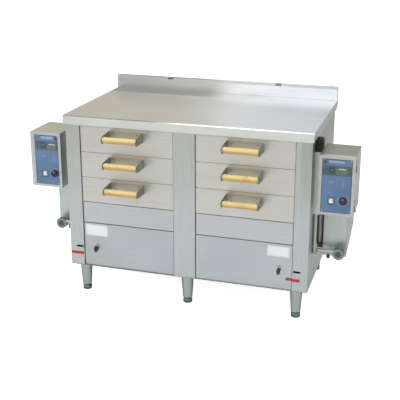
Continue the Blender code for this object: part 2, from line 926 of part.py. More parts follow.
def make_dial(side, name, door):
    """Round knob with a raised rib as its pointer, on a shaft through the door."""
    x, z = on_faceplate(side, dial_from_left, dial_from_top)
    seat = faceplate_recess - gap
    back = seat - dial_height
    profile = [
        (dial_top_radius, back),
        (dial_radius, seat),
        (dial_shaft_radius, seat),
        (dial_shaft_radius, seat + dial_shaft_length),
    ]
    knob = turned(profile, "Y", (x, front, z), round_segments)
    rib = block(
        (x - dial_rib_width / 2, front + back - dial_rib_height, z),
        (x + dial_rib_width / 2, front + back + dial_rib_height, z + dial_top_radius - dial_rib_width),
    )
    return finish(name, fuse(knob, rib), "knob_black", (x, front, z), door)


def make_button(side, name, door):
    """Square push button in the door, with a flange behind the skin that keeps it in."""
    x, z = on_faceplate(side, button_from_left, button_from_top)
    face = front - button_proud
    flange_front = front + door_skin + gap
    half_x = button_width / 2
    half_z = button_height / 2
    outline = []
    for corner_x, corner_z, start in ((1, 1, 0), (-1, 1, 1), (-1, -1, 2), (1, -1, 3)):
        for step in range(button_corner_steps + 1):
            angle = math.pi / 2 * (start + step / button_corner_steps)
            outline.append((
                x + corner_x * (half_x - button_corner) + button_corner * math.cos(angle),
                z + corner_z * (half_z - button_corner) + button_corner * math.sin(angle),
            ))
    cap = prism(outline, "Y", face, flange_front + button_flange_thickness / 2)
    flange = block(
        (x - half_x - button_flange, flange_front, z - half_z - button_flange),
        (x + half_x + button_flange, flange_front + button_flange_thickness, z + half_z + button_flange),
    )
    return finish(name, fuse(cap, flange), "button_white", (x, front, z), door)


def make_lock(side, name, door):
    """Key lock in the door's inner top corner. Its cam turns to lie behind the housing's lip."""
    x, z = lock_place(side)
    seat = faceplate_recess - gap
    cam_front = housing_front - front + sheet + lock_cam_clearance
    cam_reach = faceplate_margin + lock_from_inner - control_lip / 2
    profile = [
        (lock_radius, seat - lock_proud),
        (lock_radius, seat),
        (lock_shaft_radius, seat),
        (lock_shaft_radius, cam_front + lock_cam_thickness + lock_end_proud),
    ]
    lock = turned(profile, "Y", (x, front, z), small_segments)
    cam = block(
        (x - lock_cam_width / 2, front + cam_front, z - cam_reach),
        (x + lock_cam_width / 2, front + cam_front + lock_cam_thickness, z + lock_cam_width / 2),
    )
    return finish(name, fuse(lock, cam), "lock_metal", (x, front, z), door)


def make_cable_bush(side, name):
    """Black bush on top of the duct, through which the cables enter the cabinet."""
    near = body_half + gap
    far = control_inner - gap
    bush_front = duct_face + bush_front_inset
    bottom = duct_top + gap
    top = bottom + bush_height
    outline = [
        (near, bottom),
        (far, bottom),
        (far, top - bush_chamfer),
        (far - bush_chamfer, top),
        (near, top),
    ]
    outline = [(side * x, z) for x, z in outline]
    return finish(name, prism(outline, "Y", bush_front, bush_front + bush_depth), "bush_black", parent=root)


def make_feed_tank(side, name):
    """Closed tank with a floor that falls to the front, its brackets, its link and gauge fittings."""
    x_low, x_high = sided(side, feed_inner, feed_outer)
    outer = [
        (feed_face, feed_bottom_front),
        (feed_face, feed_top),
        (feed_back, feed_top),
        (feed_back, feed_bottom_rear),
    ]
    inner = [
        (feed_face + sheet, feed_bottom_front + 2 * sheet),
        (feed_face + sheet, feed_top - sheet),
        (feed_back - sheet, feed_top - sheet),
        (feed_back - sheet, feed_bottom_rear + sheet),
    ]
    tank = cut(prism(outer, "X", x_low, x_high), prism(inner, "X", x_low + sheet, x_high - sheet))
    vent_place = ((x_low + x_high) / 2, feed_back - 4 * feed_vent_radius, feed_top)
    vent_profile = [(feed_vent_radius, -cut_overrun), (feed_vent_radius, cut_overrun)]
    tank = cut(tank, turned(vent_profile, "Z", vent_place, small_segments))
    b_low, b_high = sided(side, body_half + gap, feed_inner + sheet / 2)
    brackets = []
    for share in feed_bracket_shares:
        y = feed_face + feed_depth * share
        top = feed_top - feed_bracket_below_top
        low = (b_low, y - feed_bracket_depth / 2, top - feed_bracket_height)
        brackets.append((low, (b_high, y + feed_bracket_depth / 2, top)))
    gauge_y = feed_face + gauge_behind_front
    g_low, g_high = sided(side, body_half + gauge_from_side - gauge_fitting_half, feed_inner + sheet / 2)
    for z in (gauge_bottom - gauge_fitting_height, gauge_top):
        low = (g_low, gauge_y - gauge_fitting_half, z)
        brackets.append((low, (g_high, gauge_y + gauge_fitting_half, z + gauge_fitting_height)))
    tank = fuse(tank, blocks(brackets))
    link_y = feed_face + feed_depth * feed_link_share
    link_profile = [(feed_link_radius, b_low), (feed_link_radius, b_high)]
    link = turned(link_profile, "X", (0, link_y, feed_top - feed_link_below_top), small_segments)
    return finish(name, fuse(tank, link), "tank_steel", parent=root)


def make_gauge_glass(side, name):
    """Level glass between its two fittings."""
    x = side * (body_half + gauge_from_side)
    y = feed_face + gauge_behind_front
    low = gauge_bottom + gap
    high = gauge_top - gap
    glass = turned([(gauge_radius, low), (gauge_radius, high)], "Z", (x, y, 0), small_segments)
    bore_profile = [(gauge_bore_radius, low - cut_overrun), (gauge_bore_radius, high + cut_overrun)]
    bore = turned(bore_profile, "Z", (x, y, 0), small_segments)
    return finish(name, cut(glass, bore), "glass", parent=root)


def cock_place(side):
    """The x, y and z of the underside of the inlet drain cock's stem."""
    pipe_y = feed_face - union_total_length + inlet_pipe_setback
    pipe_z = union_level + inlet_pipe_above_union
    return side * (body_half + cock_from_side), pipe_y, pipe_z - inlet_pipe_radius - cock_stem_length


def make_inlet_union(side, name):
    """Round union on the feed tank, with the pipe that rises from it to the duct."""
    x = side * (body_half + union_from_side)
    face = feed_face - union_total_length
    ring_profile = [
        (union_radius, face),
        (union_radius, face + union_ring_length),
        (union_neck_radius, face + union_ring_length),
        (union_neck_radius, feed_face - gap),
    ]
    union = turned(ring_profile, "Y", (x, 0, union_level), round_segments)
    recess_end = face + union_recess_depth
    recess_profile = [(union_recess_radius, face - cut_overrun), (union_recess_radius, recess_end)]
    union = cut(union, turned(recess_profile, "Y", (x, 0, union_level), small_segments))
    cock_x, pipe_y, stem_end = cock_place(side)
    pipe_x = side * (body_half + inlet_pipe_from_side)
    pipe_z = union_level + inlet_pipe_above_union
    riser_y = front + inlet_riser_front
    route = [
        (x - side * union_neck_radius, pipe_y, pipe_z),
        (pipe_x, pipe_y, pipe_z),
        (pipe_x, riser_y, pipe_z),
        (pipe_x, riser_y, duct_bottom - gap),
    ]
    pipe = tube(rounded_path(route, inlet_bend_radius), inlet_pipe_radius, pipe_sides)
    stem_profile = [(cock_stem_radius, stem_end), (cock_stem_radius, pipe_z)]
    stem = turned(stem_profile, "Z", (cock_x, pipe_y, 0), small_segments)
    return finish(name, fuse(fuse(union, pipe), stem), "fitting_metal", parent=root)


def make_tank_cock(side, name):
    """Small knob with a wing under the inlet pipe that opens the feed tank's drain."""
    x, y, stem_end = cock_place(side)
    top = stem_end - gap
    hub_profile = [(cock_hub_radius, top - cock_hub_height), (cock_hub_radius, top)]
    hub = turned(hub_profile, "Z", (x, y, 0), small_segments)
    wing_top = top - cock_hub_height / 2
    wing = block(
        (x - cock_wing_width / 2, y - cock_wing_thickness / 2, wing_top - cock_wing_height),
        (x + cock_wing_width / 2, y + cock_wing_thickness / 2, wing_top),
    )
    return finish(name, fuse(hub, wing), "knob_black", (x, y, top), root)


def make_drain_knob(side, name):
    """Lever on the lower panel that opens the water tank's drain."""
    x = drain_x(side)
    back = panel_front - drain_stem_proud - gap
    profile = [(drain_knob_radius, back - drain_knob_depth), (drain_knob_radius, back)]
    hub = turned(profile, "Y", (x, 0, drain_level), small_segments)
    face = back - drain_knob_depth
    lever = block(
        (x - drain_lever_width / 2, face, drain_level - drain_lever_length / 2),
        (x + drain_lever_width / 2, face + drain_lever_depth, drain_level + drain_lever_length / 2),
    )
    return finish(name, fuse(hub, lever), "knob_black", (x, back, drain_level), root)


def make_column(side, hand):
    """Everything that one column of drawers has for itself."""
    make_side_panel(side, "side_panel_" + hand)
    make_fascia(side, "fascia_" + hand)
    make_lower_panel(side, "lower_panel_" + hand)
    make_steam_chamber(side, "steam_chamber_" + hand)
    make_heater(side, "heater_" + hand)
    make_drain_knob(side, "drain_knob_" + hand)
    for index in range(drawers_per_column):
        number = str(index + 1)
        drawer = make_drawer(side, index, "drawer_" + hand + "_" + number)
        make_grip(side, index, "handle_grip_" + hand + "_" + number, drawer)
    make_control_box(side, "control_box_" + hand)
    door = make_control_door(side, "control_door_" + hand)
    make_dial(side, "timer_dial_" + hand, door)
    make_button(side, "start_button_" + hand, door)
    make_lock(side, "door_lock_" + hand, door)
    make_cable_bush(side, "cable_bush_" + hand)
    make_feed_tank(side, "feed_tank_" + hand)
    make_gauge_glass(side, "gauge_glass_" + hand)
    make_inlet_union(side, "inlet_union_" + hand)
    make_tank_cock(side, "tank_cock_" + hand)


def make_legs():
    leg_x = body_half - leg_side_inset
    for row, y in (("front", front + leg_front_inset), ("rear", rear - leg_front_inset)):
        for column, x in (("left", -leg_x), ("centre", 0), ("right", leg_x)):
            make_leg(x, y, "leg_" + row + "_" + column)
            make_foot(x, y, "foot_" + row + "_" + column)


clear_scene()
materials = {
    "brushed_steel": make_material("brushed_steel", (0.62, 0.63, 0.61), 1.0, 0.34),
    "drawer_steel": make_material("drawer_steel", (0.66, 0.64, 0.60), 1.0, 0.36),
    "liner_steel": make_material("liner_steel", (0.60, 0.61, 0.60), 1.0, 0.30),
    "leg_steel": make_material("leg_steel", (0.42, 0.47, 0.45), 1.0, 0.38),
    "box_steel": make_material("box_steel", (0.56, 0.56, 0.50), 1.0, 0.40),
    "tank_steel": make_material("tank_steel", (0.58, 0.60, 0.57), 1.0, 0.40),
    "heater_metal": make_material("heater_metal", (0.35, 0.34, 0.32), 1.0, 0.45),
    "fitting_metal": make_material("fitting_metal", (0.45, 0.46, 0.40), 1.0, 0.35),
    "lock_metal": make_material("lock_metal", (0.12, 0.13, 0.15), 1.0, 0.35),
    "wood": make_material("wood", (0.82, 0.58, 0.22), 0.0, 0.45),
    "foot_black": make_material("foot_black", (0.03, 0.04, 0.035), 0.0, 0.6),
    "bush_black": make_material("bush_black", (0.01, 0.01, 0.014), 0.0, 0.55),
    "knob_black": make_material("knob_black", (0.03, 0.04, 0.05), 0.0, 0.45),
    "button_white": make_material("button_white", (0.9, 0.92, 0.94), 0.0, 0.3),
    "glass": make_material("glass", (0.85, 0.88, 0.88), 0.0, 0.05, alpha=0.35),
}
root = bpy.data.objects.new("steamer", None)
bpy.context.scene.collection.objects.link(root)
make_worktop()
make_base_pan()
make_front_frame()
make_back_panel()
make_legs()
make_column(-1, "left")
make_column(1, "right")
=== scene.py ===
import json
import math
from types import SimpleNamespace

import bmesh
import bpy
from mathutils import Matrix, Vector


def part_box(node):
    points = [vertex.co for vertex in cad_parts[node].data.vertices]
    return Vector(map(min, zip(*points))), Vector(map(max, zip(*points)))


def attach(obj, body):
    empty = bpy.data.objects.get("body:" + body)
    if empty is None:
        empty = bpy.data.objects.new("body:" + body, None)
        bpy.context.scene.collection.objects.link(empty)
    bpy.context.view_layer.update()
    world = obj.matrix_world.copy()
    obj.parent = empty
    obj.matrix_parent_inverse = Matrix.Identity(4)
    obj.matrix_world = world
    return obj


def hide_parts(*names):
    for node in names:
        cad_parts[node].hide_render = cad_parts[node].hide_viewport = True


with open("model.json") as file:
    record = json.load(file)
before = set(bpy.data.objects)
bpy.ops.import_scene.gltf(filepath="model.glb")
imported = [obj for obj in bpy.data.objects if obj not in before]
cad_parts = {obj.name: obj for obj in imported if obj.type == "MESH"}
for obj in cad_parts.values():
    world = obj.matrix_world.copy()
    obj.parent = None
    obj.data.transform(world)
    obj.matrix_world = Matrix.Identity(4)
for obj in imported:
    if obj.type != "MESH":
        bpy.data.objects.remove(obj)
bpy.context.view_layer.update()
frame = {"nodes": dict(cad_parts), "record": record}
nodes = frame["nodes"]
homes = {}  # the moving body that each solid belongs to
for body, held in frame["record"]["behaviour"]["bodies"].items():
    for node in held:
        homes[node] = body
hands = {"left": -1, "right": 1}
toFront, toRear, upward, downward = (0, -1, 0), (0, 1, 0), (0, 0, 1), (0, 0, -1)
print("frame loaded:", len(nodes), "solids")

cameraLook = {
    "lens": 74.7,
    "sensor": 36,
    "place": (1.0652, -3.5348, 1.7017),
    "turnedLeft": 17.003,
    "lookingDown": 17.081,
    "shiftY": -0.08,
}
cameraData = bpy.data.cameras.new("studioCamera")
camera = bpy.data.objects.new("studioCamera", cameraData)
bpy.context.scene.collection.objects.link(camera)
cameraData.sensor_width = cameraLook["sensor"]
cameraData.lens = cameraLook["lens"]
cameraData.shift_y = cameraLook["shiftY"]
camera.location = cameraLook["place"]
camera.rotation_euler = (
    math.radians(90 - cameraLook["lookingDown"]),
    0,
    math.radians(cameraLook["turnedLeft"]),
)
bpy.context.scene.camera = camera
bpy.context.scene.view_settings.view_transform = "Standard"


def addNode(tree, kind, **settings):
    node = tree.nodes.new(kind)
    for name, value in settings.items():
        setattr(node, name, value)
    return node


def wire(tree, start, end):
    tree.links.new(start, end)


def feed(tree, socket, value):
    # an output is wired to the socket, a number, vector or colour is set on it
    if isinstance(value, bpy.types.NodeSocket):
        wire(tree, value, socket)
    elif socket.type == "RGBA":
        socket.default_value = (*value, 1)
    else:
        socket.default_value = value


def addMath(tree, operation, *values, clamp=False):
    node = addNode(tree, "ShaderNodeMath", operation=operation, use_clamp=clamp)
    for socket, value in zip(node.inputs, values):
        feed(tree, socket, value)
    return node.outputs[0]


def addRange(tree, value, low, high, interpolation="SMOOTHSTEP"):
    node = addNode(tree, "ShaderNodeMapRange", interpolation_type=interpolation)
    feed(tree, node.inputs["Value"], value)
    feed(tree, node.inputs["From Min"], low)
    feed(tree, node.inputs["From Max"], high)
    return node.outputs[0]


def addDot(tree, first, second):
    node = addNode(tree, "ShaderNodeVectorMath", operation="DOT_PRODUCT")
    feed(tree, node.inputs[0], first)
    feed(tree, node.inputs[1], second)
    return node.outputs["Value"]


def blendColour(tree, factor, first, second, mode="MIX"):
    mix = addNode(tree, "ShaderNodeMix", data_type="RGBA", blend_type=mode)
    feed(tree, mix.inputs["Factor"], factor)
    feed(tree, mix.inputs[6], first)
    feed(tree, mix.inputs[7], second)
    return mix.outputs[2]


worldLook = {
    # height on the ramp from straight down to straight up, and the grey of the room there
    "low": (0.40, (0.62, 0.62, 0.62)),
    "level": (0.55, (0.53, 0.53, 0.53)),
    "high": (0.85, (0.55, 0.54, 0.52)),
    "warmSide": (0.66, 0.62, 0.54),  # behind the cabinet on the left, mirrored by the left half of the top
    "warmDirection": (-0.62, 0.76, 0.2),
    "warmRange": (0.55, 0.9),
    "strength": 1.0,
    "behind": (1, 1, 1),  # what the camera sees past the floor
}


def buildWorld():
    world = bpy.data.worlds.new("studio")
    bpy.context.scene.world = world
    world.use_nodes = True
    tree = world.node_tree
    tree.nodes.clear()
    direction = addNode(tree, "ShaderNodeTexCoord").outputs["Generated"]
    split = addNode(tree, "ShaderNodeSeparateXYZ")
    wire(tree, direction, split.inputs[0])
    ramp = addNode(tree, "ShaderNodeValToRGB")
    stops = ramp.color_ramp.elements
    for stop, key in zip(stops, ("low", "high")):
        stop.position = worldLook[key][0]
        stop.color = (*worldLook[key][1], 1)
    stops.new(worldLook["level"][0]).color = (*worldLook["level"][1], 1)
    wire(tree, addRange(tree, split.outputs["Z"], -1, 1, "LINEAR"), ramp.inputs["Fac"])
    warmth = addRange(tree, addDot(tree, direction, worldLook["warmDirection"]), *worldLook["warmRange"])
    room = addNode(tree, "ShaderNodeBackground")
    feed(tree, room.inputs["Color"], blendColour(tree, warmth, ramp.outputs["Color"], worldLook["warmSide"]))
    feed(tree, room.inputs["Strength"], worldLook["strength"])
    behind = addNode(tree, "ShaderNodeBackground")
    feed(tree, behind.inputs["Color"], worldLook["behind"])
    mix = addNode(tree, "ShaderNodeMixShader")
    wire(tree, addNode(tree, "ShaderNodeLightPath").outputs["Is Camera Ray"], mix.inputs[0])
    wire(tree, room.outputs[0], mix.inputs[1])
    wire(tree, behind.outputs[0], mix.inputs[2])
    wire(tree, mix.outputs[0], addNode(tree, "ShaderNodeOutputWorld").inputs["Surface"])


buildWorld()

lightLooks = {
    "overhead": {  # softbox over the left front
        "place": (-2.2, -1.7, 2.9),
        "aim": (-0.1, 0, 0.4),
        "size": (2.2, 1.8),
        "glow": 1.9,
        "colour": (1, 0.99, 0.97),
    },
    "backCard": {  # mirrored by the right half of the top
        "place": (-0.33, 3.4, 2.1),
        "aim": (-0.25, 0, 0.9),
        "size": (1.25, 3.4),
        "glow": 0.52,
        "colour": (0.86, 0.98, 1.14),
    },
    "frontCard": {  # mirrored by the right half of the backsplash
        "place": (0.45, -5.2, 3.2),
        "aim": (0.4, 0, 1.0),
        "size": (4.4, 1.9),
        "glow": 2.2,
        "colour": (0.96, 1, 1.04),
    },
    "edgeStrip": {  # mirrored by the fold along the front of the top
        "place": (-0.30, -0.90, 3.0),
        "aim": (-0.30, -0.60, 0),
        "size": (1.1, 0.30),
        "glow": 3.2,
        "colour": (0.97, 1, 1.03),
    },
    "floorWash": {  # lights the floor ahead, which the low fronts mirror
        "place": (-0.1, -1.25, 1.9),
        "aim": (-0.1, -1.0, 0),
        "size": (2.2, 0.5),
        "glow": 1.6,
        "colour": (0.86, 0.97, 1.08),
        "mirrored": False,
    },
}


def addLights():
    for name, look in lightLooks.items():
        data = bpy.data.lights.new(name, "AREA")
        data.shape = "RECTANGLE"
        data.size, data.size_y = look["size"]
        data.energy = look["glow"] * math.pi * data.size * data.size_y
        data.color = look["colour"]
        light = bpy.data.objects.new(name, data)
        bpy.context.scene.collection.objects.link(light)
        light.visible_camera = False
        light.visible_glossy = look.get("mirrored", True)
        light.location = look["place"]
        away = Vector(look["aim"]) - Vector(look["place"])
        light.rotation_euler = away.to_track_quat("-Z", "Y").to_euler()


addLights()
print("camera, world and lights set")


def newGroup(name, inputs, outputs):
    # a shader group whose inputs are vectors or numbers, as their values are, and whose outputs are numbers
    group = bpy.data.node_groups.new(name, "ShaderNodeTree")
    for label, value in inputs.items():
        kind = "NodeSocketVector" if isinstance(value, tuple) else "NodeSocketFloat"
        socket = group.interface.new_socket(name=label, in_out="INPUT", socket_type=kind)
        socket.default_value = value
    for label in outputs:
        group.interface.new_socket(name=label, in_out="OUTPUT", socket_type="NodeSocketFloat")
    return group, addNode(group, "NodeGroupInput").outputs, addNode(group, "NodeGroupOutput").inputs


def addNoise(tree, coordinates, scale, detail, roughness=0.5, distortion=0.0):
    noise = addNode(tree, "ShaderNodeTexNoise")
    feed(tree, noise.inputs["Vector"], coordinates)
    feed(tree, noise.inputs["Scale"], scale)
    feed(tree, noise.inputs["Detail"], detail)
    feed(tree, noise.inputs["Roughness"], roughness)
    feed(tree, noise.inputs["Distortion"], distortion)
    return noise.outputs[0]


def objectPlace(tree):
    return addNode(tree, "ShaderNodeTexCoord").outputs["Object"]


def stretchedNoise(tree, start, detail, roughness, distortion=0.0):
    stretch = addNode(tree, "ShaderNodeVectorMath", operation="MULTIPLY")
    wire(tree, objectPlace(tree), stretch.inputs[0])
    wire(tree, start["Stretch"], stretch.inputs[1])
    return addNoise(tree, stretch.outputs[0], start["Scale"], detail, roughness, distortion)


def makeBrushedGrain():
    tree, start, end = newGroup("brushedGrain", {"Stretch": (1, 1, 1), "Scale": 300.0}, ("Grain", "Height"))
    fine = stretchedNoise(tree, start, 5, 0.7)
    wire(tree, addRange(tree, fine, 0.32, 0.68, "LINEAR"), end["Grain"])
    wire(tree, fine, end["Height"])
    return tree


def makeTonalDrift():
    inputs = {"Stretch": (1, 1, 1), "Scale": 2.0, "Contrast": 1.0}
    tree, start, end = newGroup("tonalDrift", inputs, ("Drift",))
    centred = addMath(tree, "SUBTRACT", stretchedNoise(tree, start, 2, 0.5, 0.4), 0.5)
    spread = addMath(tree, "MULTIPLY", centred, start["Contrast"])
    wire(tree, addMath(tree, "ADD", spread, 0.5, clamp=True), end["Drift"])
    return tree


def makeSmudges():
    inputs = {"Stretch": (1, 1, 1), "Scale": 9.0, "Cover": 0.4}
    tree, start, end = newGroup("smudges", inputs, ("Mask",))
    level = addMath(tree, "SUBTRACT", 1.0, start["Cover"])
    full = addMath(tree, "ADD", level, 0.22)
    wire(tree, addRange(tree, stretchedNoise(tree, start, 6, 0.62, 1.1), level, full), end["Mask"])
    return tree


def makeCreviceShadeAndDirt():
    # painted shade with dirt: ambient occlusion darkens corners and crevices
    tree, start, end = newGroup("creviceShadeAndDirt", {"Reach": 0.012, "Amount": 0.5}, ("Mask",))
    shade = addNode(tree, "ShaderNodeAmbientOcclusion", samples=4)
    wire(tree, start["Reach"], shade.inputs["Distance"])
    hidden = addRange(tree, shade.outputs["AO"], 0.75, 0.25)
    wire(tree, addMath(tree, "MULTIPLY", hidden, start["Amount"], clamp=True), end["Mask"])
    return tree


def makeWornEdges():
    tree, start, end = newGroup("wornEdges", {"Level": 0.56, "Amount": 0.6, "Scale": 60.0}, ("Mask",))
    pointiness = addNode(tree, "ShaderNodeNewGeometry").outputs["Pointiness"]
    full = addMath(tree, "ADD", start["Level"], 0.06)
    edge = addRange(tree, pointiness, start["Level"], full)
    broken = addMath(tree, "MULTIPLY", edge, addNoise(tree, objectPlace(tree), start["Scale"], 4))
    wire(tree, addMath(tree, "MULTIPLY", broken, start["Amount"], clamp=True), end["Mask"])
    return tree


def makeSpeckle():
    tree, start, end = newGroup("speckle", {"Scale": 900.0}, ("Height", "Tone"))
    place = objectPlace(tree)
    cells = addNode(tree, "ShaderNodeTexVoronoi")
    wire(tree, place, cells.inputs["Vector"])
    wire(tree, start["Scale"], cells.inputs["Scale"])
    wire(tree, cells.outputs["Distance"], end["Height"])
    wire(tree, addNoise(tree, place, start["Scale"], 3), end["Tone"])
    return tree


def makeToneAlong():
    inputs = {"Direction": (0, 0, 1), "From": 0.0, "To": 1.0}
    tree, start, end = newGroup("toneAlong", inputs, ("Mask",))
    reach = addDot(tree, objectPlace(tree), start["Direction"])
    wire(tree, addRange(tree, reach, start["From"], start["To"]), end["Mask"])
    return tree


def makeFacingUp():
    tree, start, end = newGroup("facingUp", {"From": 0.0, "To": 1.0}, ("Mask",))
    split = addNode(tree, "ShaderNodeSeparateXYZ")
    wire(tree, addNode(tree, "ShaderNodeNewGeometry").outputs["Normal"], split.inputs[0])
    wire(tree, addRange(tree, split.outputs["Z"], start["From"], start["To"]), end["Mask"])
    return tree


brushedGrain = makeBrushedGrain()
tonalDrift = makeTonalDrift()
smudges = makeSmudges()
creviceShadeAndDirt = makeCreviceShadeAndDirt()
wornEdges = makeWornEdges()
speckle = makeSpeckle()
toneAlong = makeToneAlong()
facingUp = makeFacingUp()
print("shader groups built")


def placeGroup(tree, group, values):
    node = addNode(tree, "ShaderNodeGroup", node_tree=group)
    for label, value in values.items():
        node.inputs[label].default_value = value
    return node.outputs


def maskAlong(tree, direction, start, end):
    # nought before the start and one beyond the end, both in metres along the direction
    return placeGroup(tree, toneAlong, {"Direction": direction, "From": start, "To": end})["Mask"]


def startMaterial(name):
    material = bpy.data.materials.new(name)
    material.use_nodes = True
    tree = material.node_tree
    return material, tree, tree.nodes["Principled BSDF"]


def scaled(colour, factor):
    return tuple(min(1.0, channel * factor) for channel in colour)


def sumOf(tree, base, terms):
    total = base
    for output, weight in terms:
        total = addMath(tree, "MULTIPLY_ADD", output, weight, total)
    return total


def addBump(tree, shader, height, strength, distance=0.0004):
    bump = addNode(tree, "ShaderNodeBump")
    feed(tree, bump.inputs["Strength"], strength)
    feed(tree, bump.inputs["Distance"], distance)
    wire(tree, height, bump.inputs["Height"])
    wire(tree, bump.outputs[0], shader.inputs["Normal"])


brushedX, brushedY, brushedZ = (0.02, 1, 1), (1, 0.02, 1), (1, 1, 0.02)  # the way the brushing runs
steelShared = {
    "grain": 0.05,  # depth of the brushed lines' tone
    "grainScale": 260,
    "bump": 0.10,
    "drift": 0.07,  # slow change of tone over a sheet
    "driftValues": {"Scale": 2.3, "Contrast": 2.2},
    "smudgeValues": {"Scale": 7.0, "Cover": 0.46},
    "shadeAndDirtReach": 0.010,
    "shadeAndDirtTone": (0.10, 0.09, 0.07),
    "rimRange": (0.35, 0.85),
}


def steel(name, colour, roughness, stretch=brushedX, shadeAndDirt=0.35, tints=(), rim=None):
    material, tree, shader = startMaterial(name)
    grain, drift = steelShared["grain"], steelShared["drift"]
    lines = placeGroup(tree, brushedGrain, {"Stretch": stretch, "Scale": steelShared["grainScale"]})
    slow = placeGroup(tree, tonalDrift, steelShared["driftValues"])
    marks = placeGroup(tree, smudges, steelShared["smudgeValues"])
    corners = placeGroup(tree, creviceShadeAndDirt, {"Reach": steelShared["shadeAndDirtReach"], "Amount": shadeAndDirt})
    level = 1.05 / (1 - grain)  # makes up for the darker lines of the grain
    tone = blendColour(tree, slow["Drift"], scaled(colour, level - drift), scaled(colour, level + drift))
    for tint in tints:  # each paints a reflection, highlight or shade and comes in along one direction, and some only within another
        mask = maskAlong(tree, *tint["along"])
        if "within" in tint:
            mask = addMath(tree, "MULTIPLY", mask, maskAlong(tree, *tint["within"]))
        tone = blendColour(tree, mask, tone, scaled(tint["colour"], level))
    tone = blendColour(tree, lines["Grain"], tone, (1 - 2 * grain,) * 3, "MULTIPLY")
    if rim:  # painted reflection: round pieces are darkened at their edges, for the dark of the room they would mirror
        facing = addNode(tree, "ShaderNodeLayerWeight")
        feed(tree, facing.inputs["Blend"], 0.5)
        tone = blendColour(tree, addRange(tree, facing.outputs["Facing"], *steelShared["rimRange"]), tone, rim)
    # painted shade with dirt: corners and crevices are darkened, and their roughness is raised
    tone = blendColour(tree, corners["Mask"], tone, steelShared["shadeAndDirtTone"])
    wire(tree, tone, shader.inputs["Base Color"])
    rough = sumOf(tree, roughness, [(lines["Grain"], 0.06), (marks["Mask"], 0.07), (corners["Mask"], 0.2)])
    wire(tree, rough, shader.inputs["Roughness"])
    shader.inputs["Metallic"].default_value = 1.0
    addBump(tree, shader, lines["Height"], steelShared["bump"])
    return material


